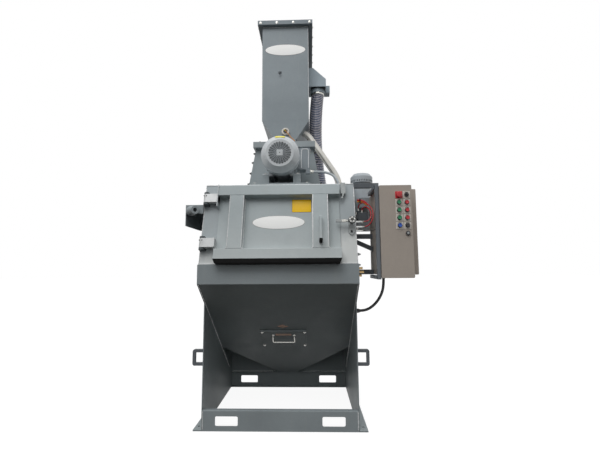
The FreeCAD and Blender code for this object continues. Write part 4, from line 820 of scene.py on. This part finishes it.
def make_door_weld_seams_and_highlights():
    bm = bmesh.new()
    foot, front = 12.0, 75.4
    bottom, top = 108.0, 568.0
    rib_edges = ((-398, -1), (-287, 1), (280, -1), (400, 1))
    # Weld beads where the ribs meet the skin, coloured near-white as a painted highlight.
    for across, sign in rib_edges:
        line = [place_on_face(across + 3 * sign, foot, up) for up in (bottom + 12, top - 6)]
        weld(bm, *line, 4.2, seed=across)
    # Painted highlight lines along the ribs' front edges; there is no weld there.
    for across, sign in rib_edges:
        line = [place_on_face(across + 0.6 * sign, front, up) for up in (bottom + 14, top - 1)]
        weld(bm, *line, 3.6, seed=across + 1.0)
    for left, right in ((-500, -398), (-287, 280), (400, 500)):
        start = left + (14 if left > -490 else 2)
        end = right - (14 if right < 490 else 2)
        line = [place_on_face(across, foot, bottom + 3) for across in (start, end)]
        weld(bm, *line, 3.4, seed=left)
        for across, sign in ((left, 1), (right, -1)):
            if abs(across) < 490:
                turn = quarter(across + 3 * sign, sign, 12.0, 5)
                sweep(bm, [place_on_face(u, foot, bottom + 3 + v) for u, v in turn], 3.8, 8)
    # Painted highlight round the curved foot of each rib's front edge.
    for across, sign in rib_edges:
        bend = quarter(across, sign, 15.0, 6)
        sweep(bm, [place_on_face(u, 75.6, bottom + v) for u, v in bend], 3.2, 8)
    # A weld bead at the top of the end plate, and a painted highlight line down its front edge.
    weld(bm, place_on_face(-504, 81, 642), place_on_face(-502, 81, 668), 5.0, seed=1.0)
    weld(bm, place_on_face(-504, 81, 470), place_on_face(-504, 81, 640), 2.4, seed=2.0)
    make_piece("door_weld_beads_and_highlights", bm, "highlight_paint", "door")
    bm = bmesh.new()
    for across, sign in rib_edges:
        place = frame_at(place_on_face(across, 70, bottom), FACE_OUT, FACE_UP)
        gusset(bm, place, [(0, -1), (sign * 16, -1)] + quarter(0, sign, 15.0, 6)[::-1], -3, 6.8)
    make_piece("door_corner_gussets", bm, "door_paint", "door")
    bm = bmesh.new()
    place = frame_at(place_on_face(-504, 46, 569), FACE_OUT, FACE_UP)
    slab(bm, place, rounded_outline(4, 98, 2, 4), -34, 36, 1.5)
    make_piece("door_end_plate", bm, "door_paint", "door")


def make_machine_weld_seams_and_highlight():
    bm = bmesh.new()
    # Weld beads, coloured near-white as a painted highlight.
    for sign in (-1, 1):
        weld(bm, (sign * 629, -753, 1331), (sign * 500, -753, 1331), 3.2, seed=sign)
        weld(bm, place_on_face(sign * 627, 1, 10), place_on_face(sign * 627, 1, 668), 3.0, seed=2.0)
    weld(bm, (-500, -756, 1330), (500, -756, 1330), 2.6, seed=0.3)
    for sign in (-1, 1):
        for z in (509, 488, 629, 608):
            weld(bm, (sign * 636, -515, z), (sign * 636, -478, z), 3.2)
        weld(bm, (sign * 625, -557, 150), (sign * 625, -557, 14), 3.4, seed=1.4)
    for sign in (-1, 1):
        weld(bm, place_on_slope(sign * 624, 12, 2), place_on_slope(sign * 624, 1500, 2), 3.4, seed=3.1)
    # A painted highlight line down the bin's right front edge; it is not a weld.
    sweep(bm, [(254, 159, 2900), (254, 159, 3962)], 2.4, 8)
    for half, y, z, radius, seed in (
        (253, 156.5, 3975, 3.0, 0.9), (388, -3, 2009, 3.0, 0.5), (259, -498, 2008, 2.6, 0.2),
        (624, -575, 2004, 3.0, 0.1),
    ):
        weld(bm, (-half, y, z), (half, y, z), radius, seed=seed)
    make_piece("machine_weld_beads_and_highlight", bm, "highlight_paint")
    bm = bmesh.new()
    weld(bm, (-256, 160, 2887), (256, 160, 2887), 2.2, seed=0.7)
    make_piece("bin_seam", bm, "bin_paint")


# Plates with nothing on them

def drawn_in(outline, distance):
    """The outline with each of its points moved towards the middle."""
    return [tuple(Vector(p) * (1 - distance / Vector(p).length)) for p in outline]


def make_plate(name, finish, place, outline, rim, thick, body="machine"):
    """A thin plate with a plain rim band, which its material colours."""
    inner = drawn_in(outline, rim)
    face = [(x * 0.995, y * 0.995) for x, y in inner]
    levels = (
        (outline, -0.4), (outline, thick * 0.6), (drawn_in(outline, 0.6), thick), (inner, thick),
        (face, thick + 0.05),
    )
    bm = bmesh.new()
    skin(bm, [[place @ Vector((x, y, z)) for x, y in ring] for ring, z in levels])
    piece = make_piece(name, bm, finish, body)
    band = piece.data.attributes.new("rim", "FLOAT", "POINT")
    for k in range(len(piece.data.vertices)):
        band.data[k].value = 1.0 if k < 4 * len(outline) else 0.0


def make_plates():
    door_oval = frame_at(place_on_face(-1.5, 11.2, 348.5), FACE_OUT, FACE_UP)
    make_plate("door_oval_plate", "white_plate", door_oval, oval_outline(216.5, 59.5), 3.0, 1.0, "door")
    yellow = frame_at(place_on_face(188, 11.2, 494), FACE_OUT, FACE_UP)
    make_plate("door_yellow_plate", "yellow_plate", yellow, rounded_outline(81, 58, 8, 8), 2.6, 1.0, "door")
    bin_oval = frame_at((0, 158.3, 3705), FRONT_OUT)
    make_plate("bin_oval_plate", "white_plate", bin_oval, oval_outline(224, 65), 3.0, 1.2)
    motor_tag = frame_at((0, -550.5, 2439), Vector((0, -48, 50)))
    make_plate("motor_tag", "tag_plate", motor_tag, rounded_outline(42, 12, 2, 4), 1.2, 0.8)
    diamond = frame_at(place_on_slope(0, 648, 0.2), SLOPE_OUT, SLOPE_UP)
    corners = [(52, 0), (26, 15), (0, 30), (-26, 15), (-52, 0), (-26, -15), (0, -30), (26, -15)]
    make_plate("hopper_diamond_plate", "dull_plate", diamond, corners, 4.0, 0.8)
    cover_tag = frame_at(place_on_slope(0, 790, 6.2), SLOPE_OUT, SLOPE_UP)
    make_plate("clean_out_plate", "dull_plate", cover_tag, rounded_outline(74, 17, 6, 5), 2.0, 0.8)


# Console

def on_console(x, z, off=0.0):
    return frame_at((x, CONSOLE_FRONT - off, z), FRONT_OUT)


def make_console():
    left, right = BUTTON_COLUMNS
    top_row = BUTTON_ROWS[0]
    caps = {
        "green_button": [(left, row) for row in BUTTON_ROWS[1:4]],
        "red_button": [(right, row) for row in BUTTON_ROWS[1:4]],
        "blue_button": [(left, BUTTON_ROWS[4])],
        "black_button": [(right, BUTTON_ROWS[4])],
    }
    cap = [(14.6, 1.5), (14.6, 16.0), (13.4, 17.6), (11.2, 18.2), (9.8, 17.2), (0.8, 16.4)]
    for finish, spots in caps.items():
        bm = bmesh.new()
        for x, z in spots:
            lathe(bm, on_console(x, z), cap, 32)
        piece = make_piece(finish + "_caps", bm, finish)
        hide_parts("push_buttons")
    bm = bmesh.new()
    bezel = [(17.6, 1.5), (17.6, 10.0), (16.6, 11.8), (15.2, 12.2), (15.2, 8.0)]
    for x, z in sum(caps.values(), []):
        lathe(bm, on_console(x, z), bezel, 36)
    for x, z in ((right, top_row), (right, KEY_ROW)):
        lathe(bm, on_console(x, z), [(17.4, -0.5), (17.4, 9.0), (16.2, 11.0), (12.0, 11.6), (1.0, 11.6)], 36)
    make_piece("button_bezels", bm, "black_button")
    bm = bmesh.new()
    place = on_console(right, top_row) @ Matrix.Rotation(math.radians(38), 4, "Z")
    slab(bm, place, rounded_outline(5.0, 16.0, 4.4, 5), 11.0, 25.0, 2.0)
    slab(bm, place, rounded_outline(1.0, 5.0, 0.8, 3), 24.8, 25.4)
    make_piece("selector_lever", bm, "black_button")
    bm = bmesh.new()
    place = on_console(right, KEY_ROW)
    lathe(bm, place, [(9.0, 11.0), (9.0, 12.6), (8.2, 13.2), (1.0, 13.2)], 28)
    slab(bm, place, rounded_outline(1.1, 4.6, 0.8, 3), 13.0, 13.7)
    make_piece("key_barrel", bm, "cast")
    bm = bmesh.new()
    place = on_console(left, top_row, 2)
    slab(bm, place, rounded_outline(27, 27, 3, 5), -0.2, 1.6, 0.6)
    lathe(bm, place, [
        (12, 1.0), (12, 12.0), (22.6, 13.5), (23, 15.0), (23, 22.0), (21.6, 25.4), (17.0, 27.4), (8.0, 28.0),
        (1.0, 28.0),
    ], 44)
    make_piece("stop_button", bm, "red_button")
    bm = bmesh.new()
    for column in BUTTON_COLUMNS:
        for row in BUTTON_ROWS:
            if (column, row) == (left, top_row):
                continue
            for low, width in ((19.0, 15.0), (22.5, 10.0)):
                place = on_console(column, row, 2) @ Matrix.Translation((0, low, 0))
                slab(bm, place, rounded_outline(width, 0.9, 0.5, 2), -0.3, 0.25)
    make_piece("legend_lines", bm, "rubber")
    bm = bmesh.new()
    for x, out in ((790.0, LEFT_OUT), (1036.0, RIGHT_OUT)):
        slab(bm, frame_at((x, -833.5, 1571), out), rounded_outline(1.6, 350, 1.0, 2), -1.0, 0.25)
    make_piece("console_seam", bm, "rubber")
    bm = bmesh.new()
    for z in (1320, 1822):
        place = frame_at((1036, -790, z), RIGHT_OUT)
        lathe(bm, place, [(10, -1), (10, 3), (9, 4), (6.5, 4), (6.0, 2.5), (1, 2.5)], 24)
    make_piece("console_locks", bm, "bright")


# Smaller pieces

def make_side_details():
    """The supply hose, and the fittings and knobs on the right wall."""
    bm = bmesh.new()
    line = smooth([
        (664, -500, 1876), (690, -500, 1875), (718, -500, 1868), (742, -500, 1852), (756, -500, 1830),
    ], 6)
    sweep(bm, line, 8.0, 16)
    make_piece("supply_hose_red", bm, "red_hose")
    bm = bmesh.new()
    sweep(bm, [p + Vector((-2, 1, -13)) for p in line[:-4]], 6.5, 16)
    make_piece("supply_hose_amber", bm, "amber_hose")
    bm = bmesh.new()
    slab(bm, frame_at((690, -511, 1868), FRONT_OUT), rounded_outline(5, 19, 3, 3), -14, 3, 1.0)
    make_piece("supply_hose_clip", bm, "rubber")
    bm = bmesh.new()
    for y, z, reach in ((-700, 1292, 34), (-664, 1262, 50), (-616, 1232, 38)):
        place = frame_at((635, y, z), RIGHT_OUT)
        lathe(bm, place, [(13, -0.5), (13, 8), (12, 9)], 6)
        lathe(bm, place, [(9, 8), (9, reach - 12), (8, reach - 11)], 20)
        lathe(bm, place, [(11, reach - 12), (11, reach - 2), (10, reach)], 6)
    make_piece("grease_fittings", bm, "brass")
    bm = bmesh.new()
    for x, y, z in ((630, -690, 1402), (635, -642, 1318), (635, -560, 1244)):
        place = frame_at((x, y, z), RIGHT_OUT)
        lathe(bm, place, [(16, -0.5), (16, 4), (15, 5)], 24)
        lathe(bm, place, [(12, 4), (12, 16), (10.5, 18)], 6)
        lathe(bm, place, [(6, 17), (6, 27), (5, 28.5)], 14)
    make_piece("side_knobs", bm, "cast")


def make_bin_details():
    """The sight port with its pointer and rod, the hook, and a near-black sheet of painted shade under the vent hood.
    """
    bm = bmesh.new()
    place = frame_at((0, 134.5, 2754), FRONT_OUT)
    lathe(bm, place, [(38, -0.5), (38, 2.0), (36, 4.0), (27, 5.0), (26, 3.0), (1, 3.0)], 48)
    make_piece("port_flange", bm, "pale_plastic")
    bm = bmesh.new()
    lathe(bm, place, [(24, 2.5), (24, 9.0), (22, 11.0), (1.0, 11.0)], 6, 0.26)
    make_piece("port_nut", bm, "bolt")
    bm = bmesh.new()
    beside = place @ Matrix.Translation((-4, 8, 0))
    lathe(bm, beside, [(15, 8.0), (13, 16.0), (4, 24.0), (1.0, 25.0)], 3, math.radians(100))
    make_piece("port_pointer", bm, "yellow")
    bm = bmesh.new()
    rod = [(4, 121, 2752), (30, 110, 2718), (62, 92, 2672), (92, 74, 2636), (104, 66, 2618)]
    sweep(bm, smooth(rod, 5), 4.2, 12)
    make_piece("port_rod", bm, "orange")
    bm = bmesh.new()
    slab(bm, frame_at((-60, 158.5, 3440), FRONT_OUT), rounded_outline(18, 12, 3, 4), -0.5, 5.0, 1.0)
    hook = ((154, 3440), (136, 3440), (126, 3432), (126, 3416), (134, 3406), (142, 3410))
    sweep(bm, smooth([(-60, y, z) for y, z in hook], 5), 4.5, 12)
    make_piece("bin_hook", bm, "dark_paint")
    bm = bmesh.new()
    # A near-black sheet under the vent hood: painted shade.
    slab(bm, frame_at((366, 425, 3366), DOWN_OUT), rounded_outline(84, 74, 4, 3), -0.5, 1.5)
    make_piece("vent_hood_shade_sheet", bm, "painted_shade")


def make_small_details():
    """The stop at the foot of the pull handle, the gear drive's slots marked in near-black as painted shade, and its
    bolts.
    """
    bm = bmesh.new()
    place = frame_at(place_on_face(340, 101, 160), FACE_OUT, FACE_UP)
    slab(bm, place, rounded_outline(13, 13, 5, 5), -22, 26, 3.0)
    make_piece("handle_stop", bm, "rubber", "door")
    bm = bmesh.new()
    slot_ring = Vector((GEAR_X, GEAR_Y, 2092))
    # Near-black marks in the gear cap's slots: painted shade.
    for k in range(40):
        way = spoke(k, 40)
        slab(bm, frame_at(slot_ring + way * 101.4, way), rounded_outline(3.0, 9.0, 1.5, 2), -2.0, 0.9)
    make_piece("gear_cap_slots", bm, "painted_shade")
    bm = bmesh.new()
    for x, y in CORNERS:
        for z in (1648, 1784):
            bolt(bm, (GEAR_X + x * 60, GEAR_Y + y * 74, z), Vector((0, y, 0)), 13, 6)
    make_piece("gearbox_bolts", bm, "bright")


def make_panel_frame():
    """The bent square tube at the console's left side, from the upper arm down to the lower one."""
    bm = bmesh.new()
    post = rounded_outline(15, 15, 5, 4)
    slab(bm, frame_at((774, -832, 1208), TOP_OUT), post, 0, 722, 1.0)
    slab(bm, frame_at((774, -840, 1925), REAR_OUT), post, 0, 334, 1.0)
    slab(bm, frame_at((774, -840, 1222), REAR_OUT), post, 0, 334, 1.0)
    make_piece("panel_frame", bm, "frame_paint")
    bm = bmesh.new()
    for z in (1300, 1571, 1840):
        slab(bm, frame_at((788, -832, z), RIGHT_OUT), rounded_outline(12, 18, 3, 4), -2, 2.5, 0.8)
    make_piece("panel_frame_pads", bm, "rubber")


def smooth(points, steps):
    """A smooth line through the points."""
    points = [Vector(p) for p in points]
    result = []
    count = len(points)
    for k in range(count - 1):
        p0, p1 = points[max(k - 1, 0)], points[k]
        p2, p3 = points[k + 1], points[min(k + 2, count - 1)]
        for j in range(steps):
            t = j / steps
            result.append(0.5 * (
                2 * p1 + (p2 - p0) * t + (2 * p0 - 5 * p1 + 4 * p2 - p3) * t * t
                + (3 * p1 - p0 - 3 * p2 + p3) * t ** 3
            ))
    result.append(points[-1].copy())
    return result


# Latch

def make_latch():
    bm = bmesh.new()
    place = frame_at(place_on_face(592, 66, 338), FACE_OUT, FACE_UP)
    for k in range(5):
        angle = 2 * math.pi * k / 5 + 0.3
        lobe = place @ Matrix.Translation((19 * math.cos(angle), 19 * math.sin(angle), 0))
        lathe(bm, lobe, [(6.0, 6), (6.5, 9), (6.5, 19), (5.2, 22.4), (1.0, 23.2)], 16)
    make_piece("latch_knob_lobes", bm, "bright", "latch")
    bm = bmesh.new()
    lathe(bm, place, [(12, 18), (12, 23.0), (10.5, 24.5), (6.0, 25), (6.0, 29), (5.0, 30), (1, 30)], 24)
    make_piece("latch_knob_hub", bm, "bolt", "latch")
    bm = bmesh.new()
    bar = frame_at(place_on_face(509, 58, 338), RIGHT_OUT, FACE_UP)
    lathe(bm, bar, [(11, 0), (12.5, 2), (12.5, 34), (11, 36), (9.5, 37), (9.5, 48)], 24)
    make_piece("latch_bar_sleeve", bm, "bright", "latch")
    bm = bmesh.new()
    place = frame_at(place_on_face(487, 58, 338), FACE_OUT, FACE_UP)
    slab(bm, place, rounded_outline(23, 11, 3, 4), -6, 6, 1.5)
    make_piece("latch_bar_tip", bm, "cast", "latch")
    bm = bmesh.new()
    lathe(bm, frame_at(place_on_face(592, 66, 338), FACE_OUT, FACE_UP), [(30, 0.5), (30, 20.5), (28.5, 21.6), (1, 21.6)], 30)
    make_piece("latch_knob_disc", bm, "bolt", "latch")
    bm = bmesh.new()
    # A near-black disc in the plate's eye: painted shade in the hole.
    lathe(bm, frame_at(place_on_face(592, 10, 268), FACE_OUT), [(8.4, -0.5), (8.4, 0.8), (7.6, 1.2), (1, 1.2)], 24)
    make_piece("latch_plate_eye", bm, "painted_shade")


def dress_nodes():
    """Gives every carried-over CAD node its material."""
    by_slot = {
        "grey_paint": "grey_paint", "motor_paint": "motor_paint", "taupe_paint": "taupe_paint",
        "dark_paint": "dark_paint", "steel": "steel", "rubber": "rubber", "hose": "hose", "conduit": "conduit",
        "pale_plastic": "pale_plastic", "red_hose": "red_hose", "button_plastic": "black_button",
    }
    special = {
        "bin_shell": "bin_paint", "bin_cover": "rim_paint", "vent_hood": "hood_paint",
        "hopper_slope": "shaded_base_paint", "clean_out_cover": "shaded_base_paint", "rear_panel": "shaded_base_paint",
        "rear_crossmember": "shaded_base_paint", "left_side_plate": "shaded_base_paint", "right_side_plate": "shaded_base_paint",
        "hopper_wings": "shaded_base_paint", "lifting_handles": "lug_grey",
        "door_skin": "door_paint", "door_top_bar": "door_paint", "door_bottom_bar": "door_paint",
        "door_ribs": "door_paint", "door_handle": "door_paint", "cabinet_front_frame": "jamb_paint",
        "elevator_leg": "bin_paint", "feed_spout": "bin_paint",
        "hinge_lugs": "hinge_lug_shade_paint", "door_hinge_arms": "block", "overflow_pipe": "pipe",
        "gear_motor": "gear_paint", "gear_motor_fan_cover": "gear_paint", "gearbox": "gear_paint",
        "motor_terminal_box": "box_paint", "latch_post": "cast", "latch_arm": "latch_steel", "door_switch": "cast",
    }
    for sub in frame["record"]["subparts"]:
        finish = special.get(sub["node"], by_slot[sub["material_slot"]])
        materials = NODES[sub["node"]].data.materials
        materials.clear()
        materials.append(FINISHES[finish])


make_camera()
FINISHES = make_materials()
make_cords()
make_stage()
make_light("key", (-0.9, -3.4, 5.8), (0, -0.2, 2.4), 3.2, 95)
bpy.context.scene.view_settings.view_transform = "Standard"
dress_nodes()
make_glands()
make_dust_hose()
make_motor_details()
make_fasteners()
make_door_weld_seams_and_highlights()
make_machine_weld_seams_and_highlight()
make_plates()
make_console()
make_side_details()
make_bin_details()
make_small_details()
make_latch()
make_panel_frame()
